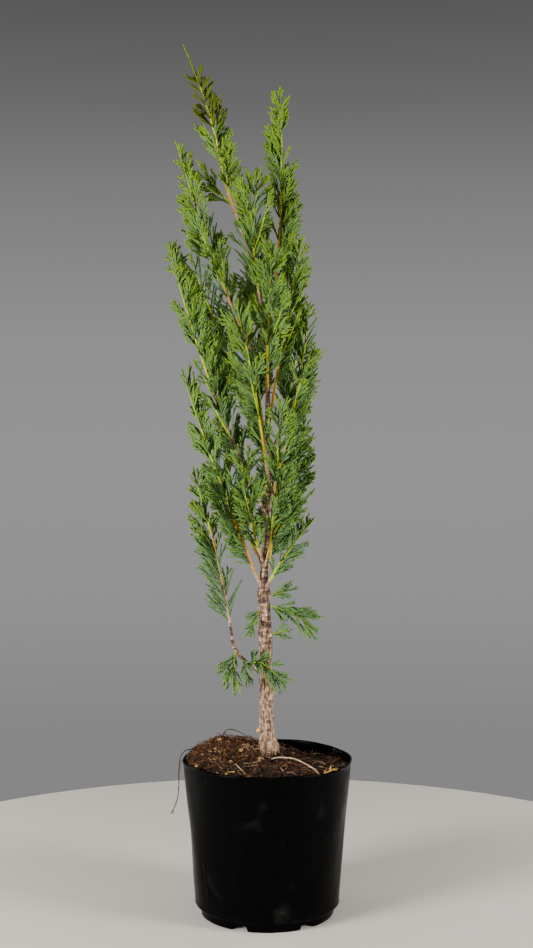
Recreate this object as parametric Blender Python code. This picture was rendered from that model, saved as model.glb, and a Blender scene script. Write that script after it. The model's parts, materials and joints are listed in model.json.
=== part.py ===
"""A young columnar juniper in a thin black nursery pot.

The trunk stands in the potting mix and runs up through the crown. Limbs leave it at their own
heights and climb steeply. Each limb is a bare bough below and a mass of foliage above, and every
mass keeps to the space that lies nearer to its own stem than to any other.

Metres, +Z up. The origin is the centre of the pot's flat underside, and +Y points to the back.
"""

import math
import random
from dataclasses import dataclass

import bmesh
import bpy
import numpy as np
from mathutils import Matrix, Vector

# ---- driving dimensions -------------------------------------------------------------------

GAP = 0.00035  # clear space between solids that rest on each other
SHARP_FROM = math.radians(35)

RIM_RADIUS = 0.0825
POT_HEIGHT = 0.152
WALL = 0.0013
POT_SIDES = 36
FOOT_RADIUS = 0.0656
FOOT_HEIGHT = 0.0085
WALL_FOOT_RADIUS = 0.0712
WALL_FOOT_HEIGHT = 0.0125
FOOT_COUNT = 6
FRONT_FOOT = math.radians(-84)  # where the middle of the front foot lies, seen from above
NOTCH_WIDTH = 0.0150
NOTCH_HEIGHT = 0.0055
NOTCH_REACH = 0.0070

SOIL_LEVEL = 0.1440
SOIL_BELOW_RIM = 0.0012
SOIL_RADII = (0.0155, 0.032, 0.050, 0.066)
# x, y, height and spread of each mound or dip on the potting mix
SOIL_MOUNDS = (
    (-0.042, 0.030, 0.0170, 0.026),
    (-0.055, -0.012, 0.0060, 0.022),
    (0.010, -0.058, 0.0055, 0.030),
    (0.052, 0.044, -0.0040, 0.026),
)

# height of the crown, and how far it reaches to the left and to the right there
CROWN_REACH = np.array((
    (0.195, -0.062, 0.040),
    (0.240, -0.062, 0.058),
    (0.330, -0.080, 0.058),
    (0.353, -0.080, 0.050),
    (0.375, -0.079, 0.047),
    (0.411, -0.077, 0.050),
    (0.430, -0.075, 0.048),
    (0.480, -0.079, 0.044),
    (0.505, -0.080, 0.047),
    (0.530, -0.084, 0.054),
    (0.557, -0.086, 0.052),
    (0.582, -0.095, 0.048),
    (0.605, -0.094, 0.046),
    (0.636, -0.099, 0.044),
    (0.655, -0.098, 0.041),
    (0.690, -0.089, 0.037),
    (0.717, -0.086, 0.031),
    (0.758, -0.089, 0.026),
    (0.775, -0.077, 0.022),
    (0.806, -0.080, 0.016),
    (0.812, -0.082, -0.050),
    (0.845, -0.086, -0.072),
))
CROWN_DEPTH = 0.85  # how deep the crown is from front to back, as a share of its width
CROWN_SLACK = 1.05

# height, x, y and radius of the trunk, from the flat cut on the potting mix to the end of its wood
TRUNK_STATIONS = (
    (0.1530, 0.0010, 0.0080, 0.0100),
    (0.1640, 0.0004, 0.0076, 0.0086),
    (0.1770, -0.0004, 0.0072, 0.0070),
    (0.2040, -0.0010, 0.0068, 0.0065),
    (0.2170, -0.0004, 0.0066, 0.0071),
    (0.2360, -0.0014, 0.0063, 0.0063),
    (0.2680, -0.0012, 0.0058, 0.0064),
    (0.2990, -0.0028, 0.0054, 0.0056),
    (0.3130, -0.0036, 0.0052, 0.0062),
    (0.3260, -0.0034, 0.0050, 0.0040),
    (0.3700, -0.0004, 0.0050, 0.0033),
    (0.4140, 0.0018, 0.0050, 0.0028),
    (0.4700, 0.0002, 0.0050, 0.0025),
    (0.5200, 0.0008, 0.0048, 0.0023),
    (0.5700, -0.0022, 0.0040, 0.0021),
    (0.6200, -0.0096, 0.0024, 0.0019),
    (0.6640, -0.0232, 0.0005, 0.0017),
    (0.7000, -0.0370, 0.0000, 0.0015),
    (0.7260, -0.0436, 0.0000, 0.0013),
)
TRUNK_SIDES = 12
FLARE_ROOTS = 5
FLARE_DEPTH = 0.10
FLARE_TOP = 0.175
# height, turn seen from above, radius and reach from the trunk's middle of each pruned stub
STUBS = (
    (0.1750, math.radians(205), 0.0023, 0.0098),
    (0.2180, math.radians(-30), 0.0032, 0.0092),
)

TWIG_SIDES = 3
BOUGH_SIDES = 6
BOUGH_STEP = 0.009
STEM_TIP_RADIUS = 0.00060
STEM_STEP = 0.017  # between the rings of a stem

FIRST_SPRAY = 0.005  # from the foot of a stem to its first spray
SPRAY_STEP = 0.0113  # along a stem, from one spray to the next
SPRAY_LEAN = math.radians(36)  # between a blade and the stem that bears it
TWIG_LEAN = math.radians(27)  # between a side twig and its stem
GOLDEN_TURN = math.radians(137.5)
TWIG_EVERY = 3  # one spray in so many is a twig that bears blades of its own
SHORTEST_TWIG = 0.034
TWIG_RADIUS = 0.0008
TWIG_UPTURN = 0.25  # how far a twig turns back towards its stem's direction
TWIG_POINTS = 5
LIMB_POINTS = 33
FINE_STEP = 0.0002
WELL_CLEAR = 0.012  # along a limb, to where it has left its parent
CUT_TRIES = 5
BLADES_ON_TWIG = (0.28, 0.60)  # shares of a twig's length at which its side blades leave it
BLADE_SHARE = 0.80  # length of a blade, as a share of a twig's length at the same place
TWIG_THINNING = 0.4  # how much shorter the side blades get along a twig
TERMINAL_SHARE = 0.60  # length of the blade at a twig's end, as a share of the twig's length
MANY_FINGERS_FROM = 0.024
FINGER_SPREAD = math.radians(37)  # from the middle finger to the outermost
OUTER_FINGER = 0.76  # length of the outermost finger, as a share of the middle one's
NOTCH_AT = 0.58  # depth of the notches between fingers, as a share of the length
BLADE_HALF_THICKNESS = 0.0010
BLADE_ROOT_HALF_WIDTH = 0.0011
SAMPLED_AT = (0.35, 0.55, 0.78, 1.0)
RIDGE_AT = 0.20  # where a blade is thickest, as a share of its length

SPACE_MARGIN = 0.0030  # between the sprays of two masses
LIMB_CLEARANCE = 0.0019
BLADE_CLEARANCE = 0.0026  # between two blades of one mass
MOST_ROLL = math.radians(66)  # of a blade, from lying square to the depth
TURNS_TRIED = 7
TURN_STEP = math.radians(52)
LENGTH_VARIES = (0.9, 1.08)
LENGTHS_TRIED = (1.0, 0.78, 0.6)
SHORTEST_BLADE = 0.008
TIP_SHARE = 0.8  # how far a stem stops short of its limb's tip, as a share of its shortest spray
LAST_SPRAY = 0.004  # from the end of a stem back to its last side spray
ROOT_SUNK = 0.003  # how far the root of a blade on a tip lies back from that tip


@dataclass
class Limb:
    """A limb from its parent's surface, through an elbow halfway along, to its tip.

    bare is the share of its length that is a bare bough. long and short are the lengths of its
    sprays at the foot and at the tip of its foliage. They shorten evenly where shortening is 1, and
    mostly near the tip where it is more. lean scales how far they stand out.
    """

    name: str
    parent: str
    leaves_at: float
    elbow: tuple
    tip: tuple
    bare: float
    radius: float
    long: float = 0.0
    short: float = 0.0
    lean: float = 1.0
    shortening: float = 2.0


LIMBS = (
    Limb("leader_top", "trunk", 0.726, (-0.0578, 0, 0.785), (-0.0824, 0, 0.8485),
         bare=0.0, radius=0.0011, long=0.034, short=0.005, shortening=1.0),
    Limb("leader_left", "trunk", 0.69, (-0.0495, -0.004, 0.708), (-0.0635, -0.01, 0.73),
         bare=0.0, radius=0.001, long=0.034, short=0.02),
    Limb("leader_crest", "trunk", 0.7, (-0.0385, -0.006, 0.723), (-0.0405, -0.009, 0.748),
         bare=0.0, radius=0.0011, long=0.026, short=0.015),
    Limb("leader_right", "trunk", 0.64, (-0.0125, -0.005, 0.685), (-0.008, -0.008, 0.724),
         bare=0.0, radius=0.0012, long=0.036, short=0.018),
    Limb("right_leader", "trunk", 0.552, (0.013, 0.008, 0.675), (0.0114, 0.003, 0.803),
         bare=0.18, radius=0.0019, long=0.04, short=0.012, lean=0.9),
    Limb("left_high", "trunk", 0.522, (-0.043, -0.013, 0.616), (-0.088, -0.004, 0.752),
         bare=0.18, radius=0.0018, long=0.044, short=0.01),
    Limb("left_inner", "trunk", 0.462, (-0.039, 0.023, 0.55), (-0.076, 0.019, 0.645),
         bare=0.18, radius=0.0017, long=0.042, short=0.018),
    Limb("left_outer", "trunk", 0.386, (-0.052, -0.016, 0.512), (-0.0955, -0.006, 0.654),
         bare=0.17, radius=0.0018, long=0.044, short=0.016),
    Limb("left_low", "trunk", 0.314, (-0.044, -0.016, 0.42), (-0.083, -0.008, 0.533),
         bare=0.12, radius=0.0019, long=0.046, short=0.024, lean=0.9),
    Limb("stray_arm", "trunk", 0.232, (-0.0235, 0, 0.249), (-0.0335, -0.003, 0.266),
         bare=1.0, radius=0.0017),
    Limb("stray", "stray_arm", 0.266, (-0.049, -0.005, 0.351), (-0.0725, -0.006, 0.434),
         bare=0.1, radius=0.0015, long=0.036, short=0.018, lean=0.9),
    Limb("right_high", "trunk", 0.47, (0.0155, -0.011, 0.56), (0.0345, -0.012, 0.659),
         bare=0.18, radius=0.0017, long=0.042, short=0.018),
    Limb("right_outer", "trunk", 0.396, (0.0262, -0.008, 0.492), (0.041, -0.006, 0.596),
         bare=0.18, radius=0.0018, long=0.042, short=0.016),
    Limb("right_middle", "trunk", 0.352, (0.0225, 0.008, 0.412), (0.037, 0.004, 0.485),
         bare=0.18, radius=0.0016, long=0.036, short=0.022),
    Limb("right_low", "trunk", 0.313, (0.0175, -0.006, 0.351), (0.0456, -0.007, 0.387),
         bare=0.18, radius=0.0018, long=0.028, short=0.016),
    Limb("front_left", "trunk", 0.342, (-0.0175, -0.022, 0.401), (-0.016, -0.027, 0.464),
         bare=0.1, radius=0.0015, long=0.042, short=0.026),
    Limb("front_right", "trunk", 0.336, (0.009, -0.021, 0.41), (0.0105, -0.027, 0.504),
         bare=0.16, radius=0.0015, long=0.042, short=0.026),
    Limb("front_middle", "trunk", 0.424, (-0.0115, -0.025, 0.509), (-0.0298, -0.027, 0.596),
         bare=0.16, radius=0.0016, long=0.042, short=0.024),
    Limb("front_high", "trunk", 0.5, (0.001, -0.024, 0.576), (0.005, -0.027, 0.654),
         bare=0.12, radius=0.0015, long=0.042, short=0.024),
    Limb("front_top", "trunk", 0.59, (-0.013, -0.014, 0.652), (-0.0175, -0.015, 0.723),
         bare=0.15, radius=0.0013, long=0.04, short=0.022),
    Limb("back_low", "trunk", 0.318, (0.008, 0.033, 0.388), (0.014, 0.042, 0.474),
         bare=0.18, radius=0.0018, long=0.048, short=0.028),
    Limb("back_left", "trunk", 0.338, (-0.03, 0.029, 0.4), (-0.05, 0.036, 0.49),
         bare=0.18, radius=0.0018, long=0.048, short=0.028),
    Limb("back_middle", "trunk", 0.42, (-0.008, 0.036, 0.51), (-0.018, 0.042, 0.606),
         bare=0.18, radius=0.0017, long=0.046, short=0.026),
    Limb("back_right", "trunk", 0.44, (0.026, 0.028, 0.53), (0.035, 0.029, 0.628),
         bare=0.18, radius=0.0017, long=0.046, short=0.026),
    Limb("back_high", "trunk", 0.54, (-0.01, 0.028, 0.616), (-0.022, 0.028, 0.7),
         bare=0.18, radius=0.0015, long=0.042, short=0.022),
    Limb("stray_droop", "stray_arm", 0.257, (-0.0335, -0.01, 0.242), (-0.031, -0.014, 0.216),
         bare=0.0, radius=0.001, long=0.024, short=0.022, lean=1.1),
    Limb("stray_fall", "stray_arm", 0.2485, (-0.0215, -0.012, 0.241), (-0.0165, -0.015, 0.224),
         bare=0.0, radius=0.0009, long=0.018, short=0.016),
    Limb("stray_cross", "stray_arm", 0.242, (-0.003, -0.014, 0.246), (0.019, -0.016, 0.223),
         bare=0.0, radius=0.0009, long=0.022, short=0.02),
    Limb("low_right_top", "trunk", 0.311, (0.013, 0.001, 0.314), (0.029, -0.001, 0.321),
         bare=0.0, radius=0.0009, long=0.018, short=0.018),
    Limb("low_right", "trunk", 0.301, (0.025, -0.002, 0.294), (0.051, -0.005, 0.275),
         bare=0.0, radius=0.0009, long=0.028, short=0.024),
    Limb("low_right_foot", "trunk", 0.272, (0.012, 0.001, 0.275), (0.024, 0, 0.279),
         bare=0.0, radius=0.0008, long=0.016, short=0.016),
    Limb("low_left", "trunk", 0.3, (-0.011, 0.001, 0.29), (-0.0155, 0, 0.27),
         bare=0.0, radius=0.0008, long=0.015, short=0.015),
)

BARK = ((0.40, 0.27, 0.19), 0.85)
FOLIAGE = ((0.12, 0.25, 0.06), 0.60)
PLASTIC = ((0.012, 0.012, 0.013), 0.38)
MIX = ((0.045, 0.028, 0.020), 0.95)


# ---- paths ---------------------------------------------------------------------------------


@dataclass
class Path:
    """A line of points with a radius at each, read by the distance along it.

    The rings of a level one lie flat, and those of any other lie square to its direction.
    """

    points: np.ndarray
    radii: np.ndarray
    level: bool = False

    def __post_init__(self):
        steps = np.linalg.norm(np.diff(self.points, axis=0), axis=1)
        self.marks = np.concatenate([[0.0], np.cumsum(steps)])
        self.length = float(self.marks[-1])

    def point(self, distance):
        return Vector([np.interp(distance, self.marks, self.points[:, axis]) for axis in range(3)])

    def radius(self, distance):
        return float(np.interp(distance, self.marks, self.radii))

    def direction(self, distance):
        reach = 0.0015
        start = min(max(distance - reach, 0.0), self.length - 2 * reach)
        return (self.point(start + 2 * reach) - self.point(start)).normalized()

    def distance_at_height(self, height):
        return float(np.interp(height, self.points[:, 2], self.marks))

    def clearance(self, corners):
        """The least distance from these points to the limb's skin."""
        points, radii = self.dense(step=FINE_STEP)
        return float((np.linalg.norm(np.array(corners)[:, None] - points[None], axis=2) - radii).min())

    def dense(self, start=0.0, step=0.002):
        """Points every step or so from start to the end, with the radius at each."""
        count = max(2, math.ceil((self.length - start) / step) + 1)
        places = np.linspace(start, self.length, count)
        return np.array([self.point(place) for place in places]), np.interp(places, self.marks, self.radii)


def trunk_path():
    stations = np.array(TRUNK_STATIONS)
    return Path(stations[:, [1, 2, 0]], stations[:, 3], level=True)


def curved_path(start, control, tip, radius, count):
    """A tapering curve that sets off towards the control point and ends coming from it."""
    share = np.linspace(0, 1, count)[:, None]
    points = (1 - share) ** 2 * start + 2 * share * (1 - share) * control + share**2 * tip
    radii = radius + (STEM_TIP_RADIUS - radius) * share[:, 0]
    return Path(points, radii)


def limb_path(limb, parent):
    """The curve from the middle of the parent through the elbow to the tip."""
    start = np.array(parent.point(parent.distance_at_height(limb.leaves_at)))
    tip = np.array(limb.tip)
    control = 2 * np.array(limb.elbow) - (start + tip) / 2
    return curved_path(start, control, tip, limb.radius, LIMB_POINTS)


@dataclass
class Cut:
    """The flat face that a limb starts from, clear of what bears it."""

    point: Vector
    normal: Vector
    distance: float


def axes_across(direction):
    """Two directions square to this one and to each other."""
    guide = Vector((0, 1, 0)) if abs(direction.y) < 0.8 else Vector((1, 0, 0))
    side = direction.cross(guide).normalized()
    return side, direction.cross(side)


def ring_corners(path, place, sides, cut=None):
    """The corners of a limb's section at this place, slid along it into the plane of a cut."""
    middle, direction, radius = path.point(place), path.direction(place), path.radius(place)
    side, other = axes_across(direction)
    corners = []
    for i in range(sides):
        turn = math.tau * i / sides
        corner = middle + radius * (math.cos(turn) * side + math.sin(turn) * other)
        if cut:
            corner += direction * ((cut.point - corner).dot(cut.normal) / direction.dot(cut.normal))
        corners.append(corner)
    return corners


def foot_cut(limb, path, parent):
    """Where a limb starts: past its parent's tip, or a gap off its parent's side."""
    place = parent.distance_at_height(limb.leaves_at)
    middle = parent.point(place)
    if place > parent.length - FINE_STEP:
        normal = Vector((0, 0, 1)) if parent.level else parent.direction(place)
        return Cut(middle + normal * GAP, normal, GAP)
    along = parent.direction(place)
    outward = path.point(WELL_CLEAR) - middle
    outward = (outward - along * outward.dot(along)).normalized()
    reach = parent.radius(place) + GAP
    for _ in range(CUT_TRIES):
        distance = next(
            step
            for step in np.arange(FINE_STEP, path.length, FINE_STEP).tolist()
            if (path.point(step) - middle).dot(outward) >= reach
        )
        cut = Cut(middle + outward * reach, outward, distance)
        reach += GAP - parent.clearance(ring_corners(path, distance, BOUGH_SIDES, cut))
    return cut


# ---- solids --------------------------------------------------------------------------------


def material(name, look):
    colour, roughness = look
    made = bpy.data.materials.new(name)
    made.use_nodes = True
    made.diffuse_color = (*colour, 1.0)
    shader = made.node_tree.nodes["Principled BSDF"]
    shader.inputs["Base Color"].default_value = (*colour, 1.0)
    shader.inputs["Roughness"].default_value = roughness
    shader.inputs["Metallic"].default_value = 0.0
    return made


def mesh_from(name, bm):
    bmesh.ops.triangulate(bm, faces=bm.faces)
    mesh = bpy.data.meshes.new(name)
    bm.to_mesh(mesh)
    bm.free()
    return mesh


def placed(name, mesh, look):
    obj = bpy.data.objects.new(name, mesh)
    mesh.materials.append(look)
    mesh.shade_smooth()
    mesh.set_sharp_from_angle(angle=SHARP_FROM)
    bpy.context.scene.collection.objects.link(obj)
    return obj


def close_rings(bm, rings):
    """Faces between each ring of vertices and the next, and a cap on both ends."""
    for low, high in zip(rings, rings[1:]):
        for i, vertex in enumerate(low):
            j = (i + 1) % len(low)
            bm.faces.new((vertex, low[j], high[j], high[i]))
    bm.faces.new(reversed(rings[0]))
    bm.faces.new(rings[-1])


def tube(name, path, places, sides, cut=None):
    """A tapering limb with a ring at each place. With a cut, its first ring lies in that plane."""
    bm = bmesh.new()
    rings = []
    for place in places:
        corners = ring_corners(path, place, sides, None if rings else cut)
        rings.append([bm.verts.new(corner) for corner in corners])
    close_rings(bm, rings)
    bmesh.ops.recalc_face_normals(bm, faces=bm.faces)
    return mesh_from(name, bm)


def places_along(start, end, step):
    return np.linspace(start, end, max(2, round((end - start) / step) + 1)).tolist()


def fuse(obj, pieces):
    """Joins the pieces to the object, fills what that seals, and drops loose scraps."""
    together = bpy.data.collections.new(f"{obj.name}_pieces")
    bpy.context.scene.collection.children.link(together)
    for piece in pieces:
        together.objects.link(bpy.data.objects.new(piece.name, piece))
    union = obj.modifiers.new("union", "BOOLEAN")
    union.operation = "UNION"
    union.operand_type = "COLLECTION"
    union.collection = together
    bpy.context.view_layer.update()
    joined = bpy.data.meshes.new_from_object(obj.evaluated_get(bpy.context.evaluated_depsgraph_get()))
    obj.modifiers.clear()
    obj.data = joined
    for piece in list(together.objects):
        bpy.data.objects.remove(piece, do_unlink=True)
    bpy.data.collections.remove(together)
    keep_main_shell(joined)


def shells_of(bm):
    """The connected groups of faces."""
    waiting = set(bm.faces)
    while waiting:
        shell = []
        reached = [waiting.pop()]
        while reached:
            face = reached.pop()
            shell.append(face)
            near = {other for edge in face.edges for other in edge.link_faces} & waiting
            waiting -= near
            reached.extend(near)
        yield shell


def volume_of(faces):
    corners = ([vertex.co for vertex in face.verts] for face in faces)
    return sum(a.dot(b.cross(c)) / 6 for a, b, c in corners)


def keep_main_shell(mesh):
    """Deletes every shell but the largest: the hollows that a union seals and the scraps it leaves."""
    bm = bmesh.new()
    bm.from_mesh(mesh)
    bmesh.ops.triangulate(bm, faces=bm.faces)
    shells = sorted(shells_of(bm), key=volume_of)
    spare = [face for shell in shells[:-1] for face in shell]
    bmesh.ops.delete(bm, geom=spare, context="FACES")
    bm.to_mesh(mesh)
    bm.free()


# ---- pot and potting mix -------------------------------------------------------------------


def wall_radius(height):
    """The radius of the pot's outer wall above its foot."""
    share = (height - WALL_FOOT_HEIGHT) / (POT_HEIGHT - WALL_FOOT_HEIGHT)
    return WALL_FOOT_RADIUS + share * (RIM_RADIUS - WALL_FOOT_RADIUS)


def outer_profile():
    """Radius and height down the outside of the pot, from the edge of its underside to its rim."""
    edge = 0.0015
    return [
        (FOOT_RADIUS - edge, 0.0),
        (FOOT_RADIUS, edge),
        (FOOT_RADIUS + 0.0004, FOOT_HEIGHT),
        (WALL_FOOT_RADIUS - edge, FOOT_HEIGHT + 0.0012),
        (WALL_FOOT_RADIUS, WALL_FOOT_HEIGHT),
        (RIM_RADIUS, POT_HEIGHT),
    ]


def inner_profile(clear=0.0):
    """Radius and height of the inside, from the edge of the floor to the rim, drawn in by clear."""
    inside = WALL + clear
    return [
        (FOOT_RADIUS - inside, inside),
        (FOOT_RADIUS + 0.0004 - inside, FOOT_HEIGHT + inside),
        (WALL_FOOT_RADIUS - 0.0010 - inside, FOOT_HEIGHT + 0.0012 + inside),
        (WALL_FOOT_RADIUS - inside, WALL_FOOT_HEIGHT + inside),
        (RIM_RADIUS - inside, POT_HEIGHT),
    ]


def ring_at(bm, radius, height, sides=POT_SIDES):
    turns = [math.tau * (i + 0.5) / sides for i in range(sides)]
    return [bm.verts.new((radius * math.cos(turn), radius * math.sin(turn), height)) for turn in turns]


def make_pot(look):
    bm = bmesh.new()
    profile = outer_profile() + inner_profile()[::-1]
    close_rings(bm, [ring_at(bm, radius, height) for radius, height in profile])
    pot = placed("pot", mesh_from("pot", bm), look)
    notches = make_notches()
    cut = pot.modifiers.new("drain_notches", "BOOLEAN")
    cut.operation = "DIFFERENCE"
    cut.object = notches
    return pot


def make_notches():
    """The gaps between the pot's feet, as one cutter."""
    bm = bmesh.new()
    depth = 2 * NOTCH_REACH
    for i in range(FOOT_COUNT):
        turn = FRONT_FOOT + math.tau * (i + 0.5) / FOOT_COUNT
        size = Matrix.Diagonal((depth, NOTCH_WIDTH, 2 * NOTCH_HEIGHT, 1.0))
        place = Matrix.Rotation(turn, 4, "Z") @ Matrix.Translation((FOOT_RADIUS, 0.0, 0.0))
        bmesh.ops.create_cube(bm, size=1.0, matrix=place @ size)
    notches = bpy.data.objects.new("drain_notch_cutter", mesh_from("drain_notch_cutter", bm))
    bpy.context.scene.collection.objects.link(notches)
    notches.hide_render = True
    notches.display_type = "WIRE"
    return notches


def soil_height(x, y):
    mounds = sum(
        height * math.exp(-((x - mx) ** 2 + (y - my) ** 2) / (2 * spread**2))
        for mx, my, height, spread in SOIL_MOUNDS
    )
    return SOIL_LEVEL + mounds


def make_soil(look):
    """The potting mix: it fills the pot, heaped to the left, with a flat place under the trunk."""
    bm = bmesh.new()
    foot_height, foot_x, foot_y, _ = TRUNK_STATIONS[0]
    seat = foot_height - GAP
    profile = inner_profile(GAP)[:-1]
    rings = [ring_at(bm, radius, height) for radius, height in profile]
    edge = ring_at(bm, 1.0, 0.0)
    for vertex in edge:
        turn = math.atan2(vertex.co.y, vertex.co.x)
        near_edge = RIM_RADIUS - WALL - GAP
        height = soil_height(near_edge * math.cos(turn), near_edge * math.sin(turn))
        height = min(height, POT_HEIGHT - SOIL_BELOW_RIM)
        radius = wall_radius(height) - WALL - GAP
        vertex.co = (radius * math.cos(turn), radius * math.sin(turn), height)
    rings.append(edge)
    for radius in reversed(SOIL_RADII):
        ring = ring_at(bm, radius, 0.0)
        shift = 1 - radius / RIM_RADIUS
        for vertex in ring:
            x = vertex.co.x + shift * foot_x
            y = vertex.co.y + shift * foot_y
            vertex.co = (x, y, seat if radius == SOIL_RADII[0] else soil_height(x, y))
        rings.append(ring)
    close_rings(bm, rings)
    return placed("potting_mix", mesh_from("potting_mix", bm), look)


# ---- trunk and boughs ----------------------------------------------------------------------


def flare(height, turn):
    """How far the root flare swells the trunk at this height and turn."""
    above = max(0.0, 1 - (height - TRUNK_STATIONS[0][0]) / (FLARE_TOP - TRUNK_STATIONS[0][0]))
    return 1 + FLARE_DEPTH * above * math.cos(FLARE_ROOTS * turn)


def make_trunk(path, look):
    bm = bmesh.new()
    rings = []
    for height, x, y, radius in TRUNK_STATIONS:
        ring = []
        for i in range(TRUNK_SIDES):
            turn = math.tau * i / TRUNK_SIDES
            reach = radius * flare(height, turn)
            ring.append(bm.verts.new((x + reach * math.cos(turn), y + reach * math.sin(turn), height)))
        rings.append(ring)
    close_rings(bm, rings)
    trunk = placed("trunk", mesh_from("trunk", bm), look)
    fuse(trunk, [stub(i, path, *spec) for i, spec in enumerate(STUBS)])
    return trunk


def stub(index, path, height, turn, radius, reach):
    """What is left of a pruned limb, from the trunk's middle outwards."""
    middle = path.point(path.distance_at_height(height))
    outward = Vector((math.cos(turn), math.sin(turn), 0.35)).normalized()
    ends = np.array([middle, middle + outward * reach])
    line = Path(ends, np.array([radius * 1.25, radius]))
    return tube(f"stub_{index}", line, (0.0, line.length), BOUGH_SIDES)


# ---- foliage -------------------------------------------------------------------------------


@dataclass
class Blade:
    """A flat spray of scale leaves: fingers that spread from a narrow root on the stem."""

    root: Vector
    direction: Vector
    width: Vector
    length: float

    def spokes(self):
        """The turn and reach of each finger's tip and of each notch between two, in order."""
        fingers = 5 if self.length >= MANY_FINGERS_FROM else 3
        found = []
        for i in range(2 * fingers - 1):
            share = i / (fingers - 1) - 1
            reach = self.length * (1 - (1 - OUTER_FINGER) * abs(share))
            found.append((share * FINGER_SPREAD, reach if i % 2 == 0 else reach * NOTCH_AT))
        return found

    def corner(self, turn, reach):
        return self.root + reach * (math.cos(turn) * self.direction + math.sin(turn) * self.width)

    def samples(self):
        """Points along each spoke, clear of the root, that stand for the blade in tests of space."""
        spokes = self.spokes()
        return np.array([self.corner(turn, reach * share) for turn, reach in spokes for share in SAMPLED_AT])

    def mesh(self, name):
        bm = bmesh.new()
        normal = self.direction.cross(self.width)
        ridge = self.root + self.direction * self.length * RIDGE_AT
        faces = [bm.verts.new(ridge + side * BLADE_HALF_THICKNESS * normal) for side in (1, -1)]
        outline = [bm.verts.new(self.root - self.width * BLADE_ROOT_HALF_WIDTH)]
        outline += [bm.verts.new(self.corner(turn, reach)) for turn, reach in self.spokes()]
        outline.append(bm.verts.new(self.root + self.width * BLADE_ROOT_HALF_WIDTH))
        for i, vertex in enumerate(outline):
            after = outline[(i + 1) % len(outline)]
            bm.faces.new((vertex, after, faces[0]))
            bm.faces.new((after, vertex, faces[1]))
        return mesh_from(name, bm)


@dataclass
class Twig:
    """A three-sided side twig that curves up towards the stem's own direction."""

    path: Path

    def samples(self):
        return self.path.dense(start=0.004, step=0.004)[0]

    def mesh(self, name):
        return tube(name, self.path, places_along(0.0, self.path.length, STEM_STEP), TWIG_SIDES)


def in_crown(samples):
    """Whether all these points lie within the crown's outline, which is an ellipse at each height."""
    heights, lefts, rights = CROWN_REACH.T
    left = np.interp(samples[:, 2], heights, lefts)
    right = np.interp(samples[:, 2], heights, rights)
    half = (right - left) / 2
    across = (samples[:, 0] - (left + right) / 2) / half
    deep = samples[:, 1] / (half * CROWN_DEPTH)
    return bool((across**2 + deep**2 <= CROWN_SLACK).all()) and samples[:, 2].max() <= heights[-1]


class Space:
    """Where every limb and every mass's stem lies, to keep the masses out of each other's way."""

    def __init__(self):
        self.stems = {}
        self.limbs = []
        self.taken = {}

    def add_limb(self, path, start, end):
        """Notes a solid limb that no spray may touch."""
        points, radii = path.dense()
        marks = np.linspace(0.0, path.length, len(points))
        kept = (marks >= start) & (marks <= end)
        self.limbs.append((points[kept], radii[kept]))

    def add_stem(self, name, path, start):
        """Notes the stem that a mass of foliage will grow from."""
        self.stems[name] = path.dense(start)[0]
        self.taken[name] = []

    def is_free(self, name, samples, bearer=None):
        """Whether these points keep to the mass's space and clear of all but what bears them."""
        if not in_crown(samples):
            return False
        own = nearest(samples, self.stems[name])
        for other, stem in self.stems.items():
            if other != name and (nearest(samples, stem) - own < SPACE_MARGIN).any():
                return False
        for points, radii in self.limbs:
            apart = np.linalg.norm(samples[:, None] - points[None], axis=2) - radii
            if (apart < LIMB_CLEARANCE).any():
                return False
        others = (near for near in self.taken[name] if near is not bearer)
        return all((nearest(samples, near) > BLADE_CLEARANCE).all() for near in others)


def nearest(samples, points):
    return np.linalg.norm(samples[:, None] - points[None], axis=2).min(axis=1)


def leaning(direction, turn, lean):
    """A direction that leans out from this one, towards the given turn round it."""
    side, other = axes_across(direction)
    outward = math.cos(turn) * side + math.sin(turn) * other
    return (math.cos(lean) * direction + math.sin(lean) * outward).normalized()


def blade_at(root, direction, roll, length):
    side, other = axes_across(direction)
    width = math.cos(roll) * side + math.sin(roll) * other
    return Blade(root, direction, width, length)


def twig_at(root, direction, stem_direction, length):
    """A twig that sets off in one direction and ends nearer to the stem's own."""
    control = root + direction * length / 2
    onward = direction.lerp(stem_direction, TWIG_UPTURN).normalized()
    tip = control + onward * length / 2
    return Twig(curved_path(np.array(root), np.array(control), np.array(tip), TWIG_RADIUS, TWIG_POINTS))


def first_free(space, name, candidates, bearer=None):
    for candidate in candidates:
        samples = candidate.samples()
        if space.is_free(name, samples, bearer):
            space.taken[name].append(samples)
            return candidate
    return None


def blades_from(space, name, chance, root, stem_direction, turn, lean, length, bearer=None):
    """The first of several turns and lengths at which a blade is free of everything, if any."""
    candidates = (
        blade_at(
            root,
            leaning(stem_direction, turn + step * TURN_STEP, lean),
            chance.uniform(-MOST_ROLL, MOST_ROLL),
            length * share,
        )
        for share in LENGTHS_TRIED
        for step in range(TURNS_TRIED)
        if length * share >= SHORTEST_BLADE
    )
    found = first_free(space, name, candidates, bearer)
    return [found] if found else []


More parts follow.
